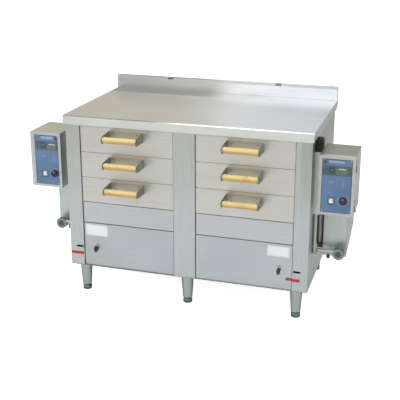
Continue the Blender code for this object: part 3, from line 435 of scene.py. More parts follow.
rearStrip = ((0, 1, 0), 0.235, 0.262)  # where a painted reflection of the backsplash lies on the top
steelLooks = {
    "worktopSteel": dict(colour=(0.68, 0.68, 0.66), roughness=0.30, tints=(
        dict(along=((1, 0, 0), -0.04, 0.42), colour=(0.52, 0.54, 0.57)),  # painted reflection: cooler and darker to the right
        # painted reflection and shade of the backsplash: olive and dark on the left, cooler on the right
        dict(along=rearStrip, within=((-1, 0, 0), -0.02, 0.10), colour=(0.415, 0.42, 0.375)),
        dict(along=rearStrip, within=((1, 0, 0), 0.02, 0.14), colour=(0.53, 0.555, 0.585)),
    )),
    "postSteel": dict(colour=(0.555, 0.58, 0.54), roughness=0.36, stretch=brushedZ, tints=(
        dict(along=((0, 0, -1), -0.74, -0.40), colour=(0.575, 0.605, 0.62)),  # painted reflection of the floor: cooler towards the floor
        # painted shade on the upper part of the right post, beside the control box
        dict(along=((1, 0, 0), 0.50, 0.515), within=((0, 0, 1), 0.40, 0.78), colour=(0.455, 0.49, 0.45)),
    )),
    "splashSteel": dict(colour=(0.62, 0.63, 0.605), roughness=0.20, tints=(
        # painted reflection: the right half of the backsplash is much brighter
        dict(along=((1, 0, 0), -0.10, 0.10), colour=(0.93, 0.95, 0.97)),
        dict(along=((0, 0, 1), 0.9025, 0.9045), colour=(0.66, 0.665, 0.65)),  # painted light and shade of the rounded upper fold
    )),
    # painted shade and highlight on the fold along the front of the top: dark on the left, bright on the right
    "foldSteel": dict(colour=(0.30, 0.32, 0.30), roughness=0.26, shadeAndDirt=0.0, tints=(
        dict(along=((1, 0, 0), -0.16, 0.02), colour=(0.98, 1, 1)),
    )),
    "sideSteel": dict(colour=(0.60, 0.61, 0.60), roughness=0.36, stretch=brushedY),
    "fasciaSteel": dict(colour=(0.60, 0.625, 0.645), roughness=0.37),
    # painted highlight: the front edge of the top is lighter than the top itself
    "edgeSteel": dict(colour=(0.79, 0.82, 0.79), roughness=0.30),
    "lipSteel": dict(colour=(0.80, 0.74, 0.66), roughness=0.5, shadeAndDirt=0.0),
    "drawerSteel": dict(colour=(0.67, 0.665, 0.625), roughness=0.36),
    "panelSteel": dict(colour=(0.555, 0.59, 0.62), roughness=0.38),
    "linerSteel": dict(colour=(0.60, 0.61, 0.60), roughness=0.30),
    # painted shade: the handle ears are drawer steel painted darker
    "bracketSteel": dict(colour=(0.31, 0.34, 0.30), roughness=0.42),
    "legSteel": dict(colour=(0.47, 0.545, 0.52), roughness=0.42, stretch=brushedZ, rim=(0.13, 0.16, 0.155)),
    "boxSteel": dict(colour=(0.635, 0.645, 0.63), roughness=0.38),
    # painted light and shade: lit and shaded copies of one steel for the box tops, the left lighter, the right darker
    "boxTopLeft": dict(colour=(0.62, 0.625, 0.55), roughness=0.46),
    "boxTopRight": dict(colour=(0.37, 0.395, 0.325), roughness=0.46),
    # painted light: the left door is a paler copy of the door steel
    "doorPale": dict(colour=(0.63, 0.66, 0.64), roughness=0.36),
    "doorSteel": dict(colour=(0.575, 0.585, 0.57), roughness=0.36),
    "tankSteel": dict(colour=(0.555, 0.62, 0.605), roughness=0.38, stretch=brushedZ),
    # painted shade: the base pan under the panels is darkened
    "baseSteel": dict(colour=(0.36, 0.38, 0.38), roughness=0.42),
    "footSteel": dict(colour=(0.24, 0.29, 0.27), roughness=0.46, stretch=brushedZ, rim=(0.06, 0.075, 0.07)),
    "unionSteel": dict(colour=(0.27, 0.33, 0.295), roughness=0.38, stretch=brushedZ),
    "unionPale": dict(colour=(0.46, 0.52, 0.47), roughness=0.34),
    "fittingMetal": dict(colour=(0.50, 0.535, 0.49), roughness=0.34, stretch=brushedY, rim=(0.16, 0.18, 0.16)),
    "fittingDark": dict(colour=(0.12, 0.135, 0.125), roughness=0.36, stretch=brushedZ),
    # painted shade: the dark sheet behind the gauge glass
    "shadeSheetDark": dict(colour=(0.15, 0.19, 0.165), roughness=0.42, stretch=brushedZ),
    "heaterMetal": dict(colour=(0.24, 0.235, 0.22), roughness=0.5, stretch=brushedY),
    "brightMetal": dict(colour=(0.72, 0.73, 0.72), roughness=0.2),
    "lockMetal": dict(colour=(0.10, 0.11, 0.13), roughness=0.3),
    # painted reflection of the wooden bar with painted shade, on the plate behind each handle
    "plateSteel": dict(colour=(0.52, 0.48, 0.40), roughness=0.42),
    "boltSteel": dict(colour=(0.30, 0.33, 0.31), roughness=0.30),
    "weldSteel": dict(colour=(0.46, 0.47, 0.43), roughness=0.44, stretch=brushedZ),
}
finish = {name: steel(name, **look) for name, look in steelLooks.items()}


def plastic(name, colour, roughness, variation=0.25, grit=700, bump=0.15, coat=0.0, wear=0.5):
    material, tree, shader = startMaterial(name)
    dots = placeGroup(tree, speckle, {"Scale": grit})
    slow = placeGroup(tree, tonalDrift, {"Scale": 12.0, "Contrast": 2.0})
    edges = placeGroup(tree, wornEdges, {"Level": 0.54, "Amount": wear, "Scale": 90.0})
    tone = blendColour(tree, slow["Drift"], scaled(colour, 1 - variation), scaled(colour, 1 + variation))
    tone = blendColour(tree, edges["Mask"], tone, scaled(colour, 1.5))
    wire(tree, tone, shader.inputs["Base Color"])
    rough = sumOf(tree, roughness, [(dots["Tone"], 0.08), (slow["Drift"], 0.06)])
    wire(tree, rough, shader.inputs["Roughness"])
    shader.inputs["Coat Weight"].default_value = coat
    addBump(tree, shader, dots["Height"], bump, 0.0002)
    return material


plasticLooks = {
    "knobBlack": dict(colour=(0.022, 0.027, 0.032), roughness=0.42),
    "dialBlack": dict(colour=(0.03, 0.035, 0.05), roughness=0.38),
    "bushBlack": dict(colour=(0.010, 0.010, 0.014), roughness=0.55, grit=450),
    "footBlack": dict(colour=(0.030, 0.040, 0.036), roughness=0.5),
    "buttonWhite": dict(colour=(0.86, 0.90, 0.93), roughness=0.28, variation=0.03, wear=0.0),
    "labelWhite": dict(colour=(0.88, 0.90, 0.93), roughness=0.45, variation=0.03, wear=0.0),
    "labelGrey": dict(colour=(0.45, 0.47, 0.50), roughness=0.5, variation=0.05, wear=0.0),
    "stripRed": dict(colour=(0.50, 0.040, 0.034), roughness=0.42, variation=0.18, wear=0.2),
    "plateBlue": dict(colour=(0.112, 0.202, 0.34), roughness=0.34, variation=0.12, bump=0.08, wear=0.1),
    "plateDark": dict(colour=(0.075, 0.12, 0.135), roughness=0.30, variation=0.12, wear=0.0),
    "plateDeep": dict(colour=(0.035, 0.065, 0.085), roughness=0.25, variation=0.12, wear=0.0),
    "plateViolet": dict(colour=(0.20, 0.24, 0.45), roughness=0.4, variation=0.10, wear=0.0),
    "platePale": dict(colour=(0.30, 0.40, 0.56), roughness=0.38, variation=0.08, wear=0.0),
    "markWhite": dict(colour=(0.72, 0.76, 0.80), roughness=0.4, variation=0.05, wear=0.0),
    # painted shade of the recess round the faceplate
    "recessShadeDark": dict(colour=(0.045, 0.075, 0.11), roughness=0.5, variation=0.15, wear=0.0),
    "slotShade": dict(colour=(0.085, 0.09, 0.08), roughness=0.6, variation=0.1, wear=0.0),
    "lampGlass": dict(colour=(0.05, 0.13, 0.11), roughness=0.1, variation=0.1, bump=0.0, wear=0.0, coat=0.6),
    "windowOlive": dict(colour=(0.13, 0.15, 0.12), roughness=0.12, variation=0.2, bump=0.0, wear=0.0, coat=0.4),
    "terminalCream": dict(colour=(0.62, 0.58, 0.46), roughness=0.5, variation=0.06),
    "contactorBlack": dict(colour=(0.035, 0.035, 0.037), roughness=0.5),
    "relayGrey": dict(colour=(0.30, 0.31, 0.31), roughness=0.45, variation=0.06),
    "wireBrown": dict(colour=(0.14, 0.06, 0.03), roughness=0.4, variation=0.1, wear=0.0),
    "wireBlue": dict(colour=(0.03, 0.08, 0.30), roughness=0.4, variation=0.1, wear=0.0),
    "wireGreen": dict(colour=(0.06, 0.24, 0.07), roughness=0.4, variation=0.1, wear=0.0),
}
finish.update({name: plastic(name, **look) for name, look in plasticLooks.items()})

woodLook = {
    "pale": (0.76, 0.50, 0.17),
    "golden": (0.60, 0.34, 0.085),
    "brown": (0.36, 0.17, 0.045),
    "paintedTopHighlight": (0.93, 0.75, 0.33),  # painted highlight, paler where the bar faces up to the light
    "fibreDepth": 0.22,
    "stainDepth": 0.25,
    "oil": 0.15,
}


def makeWood():
    material, tree, shader = startMaterial("oiledWood")
    rings = placeGroup(tree, tonalDrift, {"Stretch": (0.10, 1, 1), "Scale": 62.0, "Contrast": 2.6})
    fibres = placeGroup(tree, brushedGrain, {"Stretch": (0.03, 1, 1), "Scale": 520.0})
    stains = placeGroup(tree, smudges, {"Scale": 26.0, "Cover": 0.50})
    above = placeGroup(tree, facingUp, {"From": -0.35, "To": 0.75})
    tone = blendColour(tree, rings["Drift"], woodLook["golden"], woodLook["pale"])
    # painted highlight on the upper faces of the bar
    tone = blendColour(tree, above["Mask"], tone, woodLook["paintedTopHighlight"])
    for output, depth in ((fibres["Grain"], woodLook["fibreDepth"]), (stains["Mask"], woodLook["stainDepth"])):
        tone = blendColour(tree, addMath(tree, "MULTIPLY", output, depth), tone, woodLook["brown"])
    wire(tree, tone, shader.inputs["Base Color"])
    rough = sumOf(tree, 0.38, [(fibres["Grain"], 0.12), (stains["Mask"], 0.1)])
    wire(tree, rough, shader.inputs["Roughness"])
    shader.inputs["Coat Weight"].default_value = woodLook["oil"]
    addBump(tree, shader, fibres["Height"], 0.25)
    return material


def makeGlass():
    material, tree, shader = startMaterial("gaugeGlass")
    haze = placeGroup(tree, smudges, {"Stretch": (1, 1, 0.2), "Scale": 60.0, "Cover": 0.48})
    tone = blendColour(tree, haze["Mask"], (0.96, 0.95, 0.94), (0.84, 0.79, 0.78))
    wire(tree, tone, shader.inputs["Base Color"])
    wire(tree, sumOf(tree, 0.04, [(haze["Mask"], 0.22)]), shader.inputs["Roughness"])
    shader.inputs["Transmission Weight"].default_value = 0.70
    shader.inputs["IOR"].default_value = 1.47
    return material


def makeWater():
    material, tree, shader = startMaterial("clearWater")
    slow = placeGroup(tree, tonalDrift, {"Scale": 30.0, "Contrast": 1.0})
    tone = blendColour(tree, slow["Drift"], (0.78, 0.84, 0.86), (0.86, 0.90, 0.90))
    wire(tree, tone, shader.inputs["Base Color"])
    shader.inputs["Roughness"].default_value = 0.02
    shader.inputs["Transmission Weight"].default_value = 0.9
    shader.inputs["IOR"].default_value = 1.33
    return material


finish["clearWater"] = makeWater()
finish["oiledWood"] = makeWood()
finish["gaugeGlass"] = makeGlass()
print("finishes made:", len(finish))

dressLooks = {
    # solid: finish, record slot, rounding of its edges, and how sharp an edge must be, in degrees
    "worktop": ("worktopSteel", "brushed_steel", 0.0014),
    "base_pan": ("baseSteel", "brushed_steel", 0.0006),
    "front_frame": ("postSteel", "brushed_steel", 0.0008),
    "back_panel": ("sideSteel", "brushed_steel", 0.0006),
    "side_panel": ("postSteel", "brushed_steel", 0.0008),
    "fascia": ("fasciaSteel", "drawer_steel", 0.0012),
    "lower_panel": ("panelSteel", "brushed_steel", 0.0010),
    "steam_chamber": ("linerSteel", "liner_steel", 0.0005, 50),
    "heater": ("heaterMetal", "heater_metal", 0.0004, 50),
    "drawer": ("drawerSteel", "drawer_steel", 0.0010),
    "handle_grip": ("oiledWood", "wood", 0.0010),
    "leg": ("legSteel", "leg_steel", 0.0008),
    "foot": ("footSteel", "foot_black", 0.0006),
    "control_box": ("boxSteel", "box_steel", 0.0008),
    "control_door": ("doorSteel", "box_steel", 0.0010),
    "timer_dial": ("dialBlack", "knob_black", 0.0005),
    "start_button": ("buttonWhite", "button_white", 0.0004),
    "door_lock": ("lockMetal", "lock_metal", 0.0003),
    "cable_bush": ("bushBlack", "bush_black", 0.0010),
    "feed_tank": ("tankSteel", "tank_steel", 0.0008),
    "gauge_glass": ("gaugeGlass", "glass", 0.0003),
    "inlet_union": ("fittingMetal", "fitting_metal", 0.0005, 50),
    "tank_cock": ("knobBlack", "knob_black", 0.0004),
    "drain_knob": ("knobBlack", "knob_black", 0.0006),
}
sharpDegrees = 32


def kindOf(node):
    for kind in sorted(dressLooks, key=len, reverse=True):
        if node.startswith(kind):
            return kind
    raise ValueError(node)


def shadeSmooth(shape, sharp):
    for face in shape.faces:
        face.smooth = True
    for edge in shape.edges:
        edge.smooth = len(edge.link_faces) == 2 and edge.calc_face_angle(0) < sharp


def placeMesh(name, shape):
    mesh = bpy.data.meshes.new(name)
    shape.to_mesh(mesh)
    shape.free()
    piece = bpy.data.objects.new(name, mesh)
    bpy.context.scene.collection.objects.link(piece)
    return piece


def soften(piece, width, sharp):
    bevel = piece.modifiers.new("softEdges", "BEVEL")
    bevel.width = width
    bevel.segments = 2
    bevel.limit_method = "ANGLE"
    bevel.angle_limit = sharp
    bevel.use_clamp_overlap = True
    weigh = piece.modifiers.new("evenShading", "WEIGHTED_NORMAL")
    weigh.keep_sharp = True


def dressNode(node):
    # a copy of the solid with flat faces joined and its edges rounded
    material, slotName, rounding, *sharper = dressLooks[kindOf(node)]
    sharp = math.radians(sharper[0] if sharper else sharpDegrees)
    shape = bmesh.new()
    shape.from_mesh(nodes[node].data)
    bmesh.ops.remove_doubles(shape, verts=shape.verts, dist=2e-6)
    bmesh.ops.dissolve_limit(shape, angle_limit=math.radians(0.5), verts=shape.verts, edges=shape.edges)
    shadeSmooth(shape, sharp)
    piece = placeMesh(node + "_dressed", shape)
    piece.data.materials.append(finish[material])
    soften(piece, rounding, sharp)
    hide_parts(node)
    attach(piece, homes[node])
    return piece


dressed = {node: dressNode(node) for node in sorted(nodes)}
stemLook = {"radius": 0.0096, "above": 0.0255, "share": 0.965}


def slimStem(node):
    # the screw of a foot turns in the leg's bore with a little more room than the solids leave
    low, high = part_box(node)
    middle = (low + high) / 2
    for vertex in dressed[node].data.vertices:
        away = Vector((vertex.co.x - middle.x, vertex.co.y - middle.y, 0))
        if vertex.co.z > stemLook["above"] and away.length < stemLook["radius"]:
            vertex.co -= away * (1 - stemLook["share"])


for node in nodes:
    if node.startswith("foot"):
        slimStem(node)
print("solids dressed:", len(dressed))


def addTurned(shape, profile, place, axis, steps):
    # profile: (radius, height) pairs from one end to the other, closed at both ends
    turn = Vector(upward).rotation_difference(Vector(axis)).to_matrix()
    rings = []
    for radius, height in profile:
        ring = []
        for index in range(steps if radius else 1):
            angle = 2 * math.pi * index / steps
            point = Vector((radius * math.cos(angle), radius * math.sin(angle), height))
            ring.append(shape.verts.new(turn @ point + Vector(place)))
        rings.append(ring)
    for low, high in zip(rings, rings[1:]):
        for index in range(steps):
            after = (index + 1) % steps
            if len(low) == 1:
                shape.faces.new((low[0], high[after], high[index]))
            elif len(high) == 1:
                shape.faces.new((low[index], low[after], high[0]))
            else:
                shape.faces.new((low[index], low[after], high[after], high[index]))
    for ring in (rings[0], rings[-1]):
        if len(ring) > 1:
            shape.faces.new(ring)


def addPrism(shape, outline, low, high, along="Y"):
    # outline: points in the plane across the axis, as (x, z) for Y and (x, y) for Z
    def ringAt(level):
        spots = [(first, level, second) if along == "Y" else (first, second, level) for first, second in outline]
        return [shape.verts.new(spot) for spot in spots]

    first, last = ringAt(low), ringAt(high)
    for index in range(len(outline)):
        after = (index + 1) % len(outline)
        shape.faces.new((first[index], first[after], last[after], last[index]))
    shape.faces.new(first)
    shape.faces.new(last)


def plainBox(left, low, right, high):
    return [(left, low), (right, low), (right, high), (left, high)]


def roundedBox(left, low, right, high, corner, steps=4):
    outline = []
    spots = ((right - corner, high - corner, 0), (left + corner, high - corner, 90))
    spots += ((left + corner, low + corner, 180), (right - corner, low + corner, 270))
    for x, z, start in spots:
        for step in range(steps + 1):
            angle = math.radians(start + 90 * step / steps)
            outline.append((x + corner * math.cos(angle), z + corner * math.sin(angle)))
    return outline


def boxAround(x, z, halfX, halfZ, corner):
    return roundedBox(x - halfX, z - halfZ, x + halfX, z + halfZ, corner)


def grown(area, by):
    left, low, right, high = area
    return left - by, low - by, right + by, high + by


def circle(x, z, radius, steps):
    angles = [2 * math.pi * step / steps for step in range(steps)]
    return [(x + radius * math.cos(angle), z + radius * math.sin(angle)) for angle in angles]


def toothedCircle(x, z, inner, outer, teeth, turned=0.0):
    # turned: by which share of half a tooth the first one lies further round
    outline = []
    for step in range(teeth * 2):
        radius = outer if step % 2 else inner
        angle = 2 * math.pi * (step + turned) / (teeth * 2)
        outline.append((x + radius * math.cos(angle), z + radius * math.sin(angle)))
    return outline


def closeShape(name, shape, finishName, body="cabinet", softening=0.0):
    sharp = math.radians(sharpDegrees)
    bmesh.ops.recalc_face_normals(shape, faces=shape.faces)
    shadeSmooth(shape, sharp)
    piece = placeMesh(name, shape)
    piece.data.materials.append(finish[finishName])
    if softening:
        soften(piece, softening, sharp)
    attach(piece, body)


def addBlock(name, outline, low, high, finishName, body="cabinet", softening=0.0, along="Y"):
    shape = bmesh.new()
    addPrism(shape, outline, low, high, along)
    closeShape(name, shape, finishName, body, softening)


def addRound(name, profile, place, axis, steps, finishName, body="cabinet", softening=0.0):
    shape = bmesh.new()
    addTurned(shape, profile, place, axis, steps)
    closeShape(name, shape, finishName, body, softening)


def shapeOfCurve(name, data, lines, closed, turn=None):
    # lines: for each line of the curve its points, as (place, radius)
    for line in lines:
        spline = data.splines.new("POLY")
        spline.points.add(len(line) - 1)
        spline.use_cyclic_u = closed
        for point, (place, radius) in zip(spline.points, line):
            point.co = (*place, 1)
            point.radius = radius
    drawn = bpy.data.objects.new(name + "_drawn", data)
    bpy.context.scene.collection.objects.link(drawn)
    graph = bpy.context.evaluated_depsgraph_get()
    mesh = bpy.data.meshes.new_from_object(drawn.evaluated_get(graph))
    bpy.data.objects.remove(drawn)
    if turn:
        mesh.transform(turn)
    shape = bmesh.new()
    shape.from_mesh(mesh)
    bmesh.ops.remove_doubles(shape, verts=shape.verts, dist=1e-6)
    return shape


def addCutPlate(name, rings, depth, front, finishName, body="cabinet"):
    # a flat plate in the plane of the fronts, its first ring the outline and the others its holes
    data = bpy.data.curves.new(name, "CURVE")
    data.dimensions = "2D"
    data.fill_mode = "BOTH"
    data.extrude = depth / 2
    lines = [[((x, z, 0), 1) for x, z in ring] for ring in rings]
    upright = Matrix.Translation((0, front + depth / 2, 0)) @ Matrix.Rotation(math.radians(90), 4, "X")
    closeShape(name, shapeOfCurve(name, data, lines, True, upright), finishName, body)


def addTube(name, points, radius, finishName, ripple=0.0):
    data = bpy.data.curves.new(name, "CURVE")
    data.dimensions = "3D"
    data.bevel_depth = radius
    data.bevel_resolution = 3
    data.use_fill_caps = True
    line = [(place, 1 + ripple * (1 if index % 2 else -1)) for index, place in enumerate(points)]
    closeShape(name, shapeOfCurve(name, data, [line], False), finishName)


def addScrew(shape, place, axis, radius, proud):
    socket = radius * 0.42
    profile = [(0, proud * 0.35), (socket, proud * 0.35), (socket, proud * 0.98), (radius * 0.72, proud * 0.9)]
    profile += [(radius * 0.95, proud * 0.5), (radius, proud * 0.15), (radius, -0.0004)]
    addTurned(shape, profile, place, axis, 16)


def addNut(shape, place, axis, radius, height, dome=True):
    turn = Vector(upward).rotation_difference(Vector(axis)).to_matrix()
    corners = circle(0, 0, radius, 6)
    levels = [shape.verts.new(turn @ Vector((x, y, z)) + Vector(place)) for z in (0, height) for x, y in corners]
    low, high = levels[:6], levels[6:]
    for index in range(6):
        after = (index + 1) % 6
        shape.faces.new((low[index], low[after], high[after], high[index]))
    shape.faces.new(low)
    shape.faces.new(high)
    if dome:
        cap = radius * 0.82
        profile = [(cap, height * 0.8)]
        for angle in map(math.radians, (0, 30, 55, 75)):
            profile.append((cap * math.cos(angle), height + cap * 0.7 * math.sin(angle)))
        profile.append((0, height + cap * 0.7))
        addTurned(shape, profile, place, axis, 18)


def bowed(start, end, sag, steps=12):
    # the points of a wire that hangs out by the sag at its middle
    points = []
    for step in range(steps + 1):
        point = Vector(start).lerp(Vector(end), step / steps)
        points.append(point + Vector(sag) * math.sin(math.pi * step / steps))
    return points


def repaint(piece, finishName, chosen):
    # gives another finish to the faces that the test picks
    mesh = piece.data
    mesh.materials.append(finish[finishName])
    index = len(mesh.materials) - 1
    for face in mesh.polygons:
        if chosen(face.center, face.normal):
            face.material_index = index


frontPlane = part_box("fascia_left")[0].y  # the plane of the drawers' fronts
handleLook = {
    "plateFinish": "plateSteel",
    "earFinish": "bracketSteel",
    "plateReach": (0.0006, 0.0030),  # the plate lies between these, in front of the drawer, the ears beyond
    "boltHalf": 0.080,  # from the middle of the bar to a bolt
    "boltRadius": 0.0062,
    "boltHeight": 0.0030,
    "washer": 0.0095,
    "screwHalf": 0.055,
    "screwLevels": (0.012, -0.009),
}


def dressHandle(node):
    look = handleLook
    grip = node.replace("drawer", "handle_grip")
    low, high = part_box(grip)
    middle = (low + high) / 2
    foot, top = look["plateReach"]
    # painted reflection and shade on the plate behind the bar, painted shade on the ears
    repaint(dressed[node], look["plateFinish"], lambda centre, normal: foot < frontPlane - centre.y < top)
    repaint(dressed[node], look["earFinish"], lambda centre, normal: frontPlane - centre.y >= top)
    bolts, screws = bmesh.new(), bmesh.new()
    washer = [(look["washer"], -0.0002), (look["washer"], 0.0006), (look["washer"] * 0.9, 0.0009), (0.002, 0.0009)]
    for side in (-1, 1):
        outward = (side, 0, 0)
        x = middle.x + side * look["boltHalf"]
        addTurned(bolts, washer, (x, middle.y, middle.z), outward, 24)
        nutPlace = (x + side * 0.0007, middle.y, middle.z)
        addNut(bolts, nutPlace, outward, look["boltRadius"], look["boltHeight"])
        for level in look["screwLevels"]:
            place = (middle.x + side * look["screwHalf"], frontPlane - 0.002, middle.z + level)
            addScrew(screws, place, toFront, 0.0036, 0.0016)
    closeShape(grip.replace("grip", "bolts"), bolts, "boltSteel", node, 0.0003)
    closeShape(grip.replace("grip", "plate_screws"), screws, "boltSteel", node)


lipLook = {"height": 0.0021, "overlap": 0.001, "setBack": 0.0020, "thickness": 0.006, "endGap": 0.003}


def addDrawerLip(node):
    # a folded lip along the lower edge of the front, seen in the gap to the piece below
    look = lipLook
    low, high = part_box(node)
    left, right = low.x + look["endGap"], high.x - look["endGap"]
    outline = plainBox(left, low.z - look["height"], right, low.z + look["overlap"])
    near = frontPlane + look["setBack"]
    name = node.replace("drawer", "drawer_lip")
    addBlock(name, outline, near, near + look["thickness"], "lipSteel", node)


for hand in hands:
    for number in (1, 2, 3):
        dressHandle(f"drawer_{hand}_{number}")
        if number < 3:
            addDrawerLip(f"drawer_{hand}_{number}")
print("handles done")

doorLook = {
    "inner": 0.582,  # the door's upright edges, from the cabinet's middle
    "outer": 0.730,
    "rim": 0.012,  # round the recess for the faceplate
    "leftPlateStart": 0.0105,  # the left plate starts this far in from the recess edge
    "leftShift": 0.011,  # and what it carries lies this much further right
    "lockDrop": 0.007,  # from the top of the lock's box to its middle
}
plateLook = {
    "thickness": 0.0008,
    "layer": 0.00025,  # thickness of each layer on the plate
    "corner": 0.003,
    "shadeLine": 0.0026,  # width of the dark line round the plate, painted shade of its recess
    "dialHole": 0.0168,
    "lockHole": 0.0076,
    "buttonMargin": 0.0006,
    "buttonSurround": 0.0036,
    "lampPlace": (0.041, 0.183),  # from the lower left corner of the recess
    "lamp": ((0.0062, 0), (0.0062, 0.0014), (0.005, 0.0022), (0.003, 0.0028), (0, 0.003)),
    "overlays": {
        # piece: finish, layer, corner, then left, low, right and high from the recess corner, in mm
        "title_strip": ("platePale", 1, 1.2, (29, 214, 92, 224)),
        "dark_band": ("plateDark", 1, 2.0, (3, 161, 121, 203)),
        "lamp_field": ("plateDeep", 2, 1.5, (30, 170, 52, 196)),
        "display_window": ("windowOlive", 2, 1.5, (58, 165, 104, 196)),
        "display_line": ("markWhite", 3, 0.4, (68, 187.5, 99, 190.5)),
        "plate_mark_1": ("plateViolet", 1, 0.6, (29, 128, 50, 136)),
        "plate_mark_2": ("plateViolet", 1, 0.6, (87, 108, 93, 137)),
        "plate_mark_3": ("plateViolet", 1, 0.6, (34, 84, 50, 88)),
        "plate_mark_4": ("plateViolet", 1, 0.6, (12, 146, 30, 150)),
    },
}


def doorSpots(hand):
    # where things are on one door
    side = hands[hand]
    low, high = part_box(f"control_door_{hand}")
    dialLow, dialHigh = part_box(f"timer_dial_{hand}")
    buttonLow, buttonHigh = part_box(f"start_button_{hand}")
    lockLow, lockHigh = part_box(f"door_lock_{hand}")
    rim = doorLook["rim"]
    left = (doorLook["inner"] if side > 0 else -doorLook["outer"]) + rim
    buttonArea = (buttonLow.x, buttonLow.z, buttonHigh.x, buttonHigh.z)
    return SimpleNamespace(
        body=f"control_door_{hand}",
        face=low.y,
        front=low.y + 0.0001,  # a little behind the door's rim
        left=left,
        right=left + doorLook["outer"] - doorLook["inner"] - 2 * rim,
        bottom=low.z + rim,
        top=high.z - rim,
        start=left + (doorLook["leftPlateStart"] if side < 0 else plateLook["shadeLine"]),
        shift=doorLook["leftShift"] if side < 0 else 0.0,
        dial=(dialLow + dialHigh) / 2,
        dialFront=dialLow.y,
        button=(buttonLow + buttonHigh) / 2,
        buttonArea=buttonArea,
        buttonHole=roundedBox(*grown(buttonArea, plateLook["buttonMargin"]), 0.0032),
        lock=Vector(((lockLow.x + lockHigh.x) / 2, lockLow.y, lockHigh.z - doorLook["lockDrop"])),
    )


def addFaceplate(hand, spot):
    look = plateLook
    edge = look["shadeLine"]
    area = (spot.start, spot.bottom + edge, spot.right - edge, spot.top - edge)
    rings = [
        roundedBox(*area, look["corner"]),
        circle(spot.dial.x, spot.dial.z, look["dialHole"], 40),
        spot.buttonHole,
        circle(spot.lock.x, spot.lock.z, look["lockHole"], 28),
    ]
    addCutPlate(f"faceplate_{hand}", rings, look["thickness"], spot.front, "plateBlue", spot.body)
    # painted shade: a dark ring fills the recess round the plate
    recess = (max(spot.left, spot.start - edge - 0.0003), spot.bottom, spot.right, spot.top)
    rings = [roundedBox(*grown(recess, -0.0003), 0.003), roundedBox(*grown(area, 0.0002), look["corner"])]
    addCutPlate(f"plate_gasket_{hand}", rings, 0.0004, spot.front + 0.0003, "recessShadeDark", spot.body)


def addOverlays(hand, spot):
    # bands, fields and plain marks on the plate
    layer = plateLook["layer"]
    for name, (finishName, level, corner, area) in plateLook["overlays"].items():
        x0, z0, x1, z1 = (value / 1000 for value in area)
        x0 = max(spot.start + 0.002, spot.left + x0 + spot.shift)
        x1 = min(spot.right - 0.0024, spot.left + x1 + spot.shift)
        outline = roundedBox(x0, spot.bottom + z0, x1, spot.bottom + z1, corner / 1000)
        near = spot.front - layer * level
        addBlock(f"{name}_{hand}", outline, near, near + layer + 0.0001, finishName, spot.body)


def addPlateFittings(hand, spot):
    # the frame round the start button, the lamp and the plate's screws
    look, layer, body = plateLook, plateLook["layer"], spot.body
    rings = [roundedBox(*grown(spot.buttonArea, look["buttonSurround"]), 0.004), spot.buttonHole]
    near = spot.front - layer * 1.2
    addCutPlate(f"button_surround_{hand}", rings, layer * 1.6, near, "plateDeep", body)
    x, z = look["lampPlace"]
    place = (spot.left + spot.shift + x, spot.front - layer * 1.5, spot.bottom + z)
    addRound(f"pilot_lamp_{hand}", look["lamp"], place, toFront, 24, "lampGlass", body)
    screws = bmesh.new()
    for x in (spot.start + 0.0048, spot.right - 0.0054):
        for z in (spot.bottom + 0.0054, spot.top - 0.0054):
            addScrew(screws, (x, spot.front, z), toFront, 0.0022, 0.0009)
    closeShape(f"faceplate_screws_{hand}", screws, "brightMetal", body)


dialLook = {
    "scaleInner": 0.0178,
    "scaleOuter": 0.0262,
    "ticks": 13,
    "sweep": 300,  # degrees, clockwise from nought at the top
    "tickStart": 0.0192,
    "longTick": 0.0236,
    "shortTick": 0.0218,
    "tickHalf": 0.00035,
    "pointerHalf": 0.0008,
    "pointerReach": (0.0045, 0.0125),
    "skirtRim": (0.0158, 0.0163, 30, 0.5),
    "lockSlotHalf": (0.0007, 0.0042),
}


def addScale(hand, spot):
    # a bare ring of ticks round the dial
    look = dialLook
    dial, layer = spot.dial, plateLook["layer"]
    limit = spot.right - plateLook["shadeLine"] - 0.0003  # the scale ends at the plate's edge
    outer = [(min(x, limit), z) for x, z in circle(dial.x, dial.z, look["scaleOuter"], 48)]
    rings = [outer, circle(dial.x, dial.z, look["scaleInner"], 48)]
    near = spot.front - layer
    addCutPlate(f"dial_scale_{hand}", rings, layer + 0.0001, near, "plateViolet", spot.body)
    ticks = bmesh.new()
    for step in range(look["ticks"]):
        angle = math.radians(90 - look["sweep"] * step / (look["ticks"] - 1))
        out = Vector((math.cos(angle), 0, math.sin(angle)))
        across = Vector((-out.z, 0, out.x)) * look["tickHalf"]
        start, end = look["tickStart"], look["shortTick"] if step % 3 else look["longTick"]
        if dial.x + out.x * end > limit - 0.0004:
            continue
        corners = [out * start - across, out * start + across, out * end + across, out * end - across]
        outline = [(dial.x + corner.x, dial.z + corner.z) for corner in corners]
        addPrism(ticks, outline, spot.front - layer * 1.7, spot.front - layer * 0.6)
    closeShape(f"dial_ticks_{hand}", ticks, "markWhite", spot.body)


def dressKnobs(hand, spot):
    # the lock's slot, and the dial's pointer and toothed skirt
    look, dial = dialLook, spot.dial
    outline = boxAround(spot.lock.x, spot.lock.z, *look["lockSlotHalf"], 0.0003)
    near, lock = spot.lock.y, f"door_lock_{hand}"
    addBlock(f"lock_slot_{hand}", outline, near - 0.00015, near + 0.001, "boltSteel", lock)
    half, (low, high) = look["pointerHalf"], look["pointerReach"]
    outline = plainBox(dial.x - half, dial.z + low, dial.x + half, dial.z + high)
    near, knob = spot.dialFront, f"timer_dial_{hand}"
    addBlock(f"dial_pointer_{hand}", outline, near - 0.0001, near + 0.0018, "markWhite", knob)
    rim = toothedCircle(dial.x, dial.z, *look["skirtRim"])
    start = spot.front + 0.0004
    addBlock(f"dial_skirt_{hand}", rim, start, near + 0.0045, "dialBlack", knob, 0.0002)


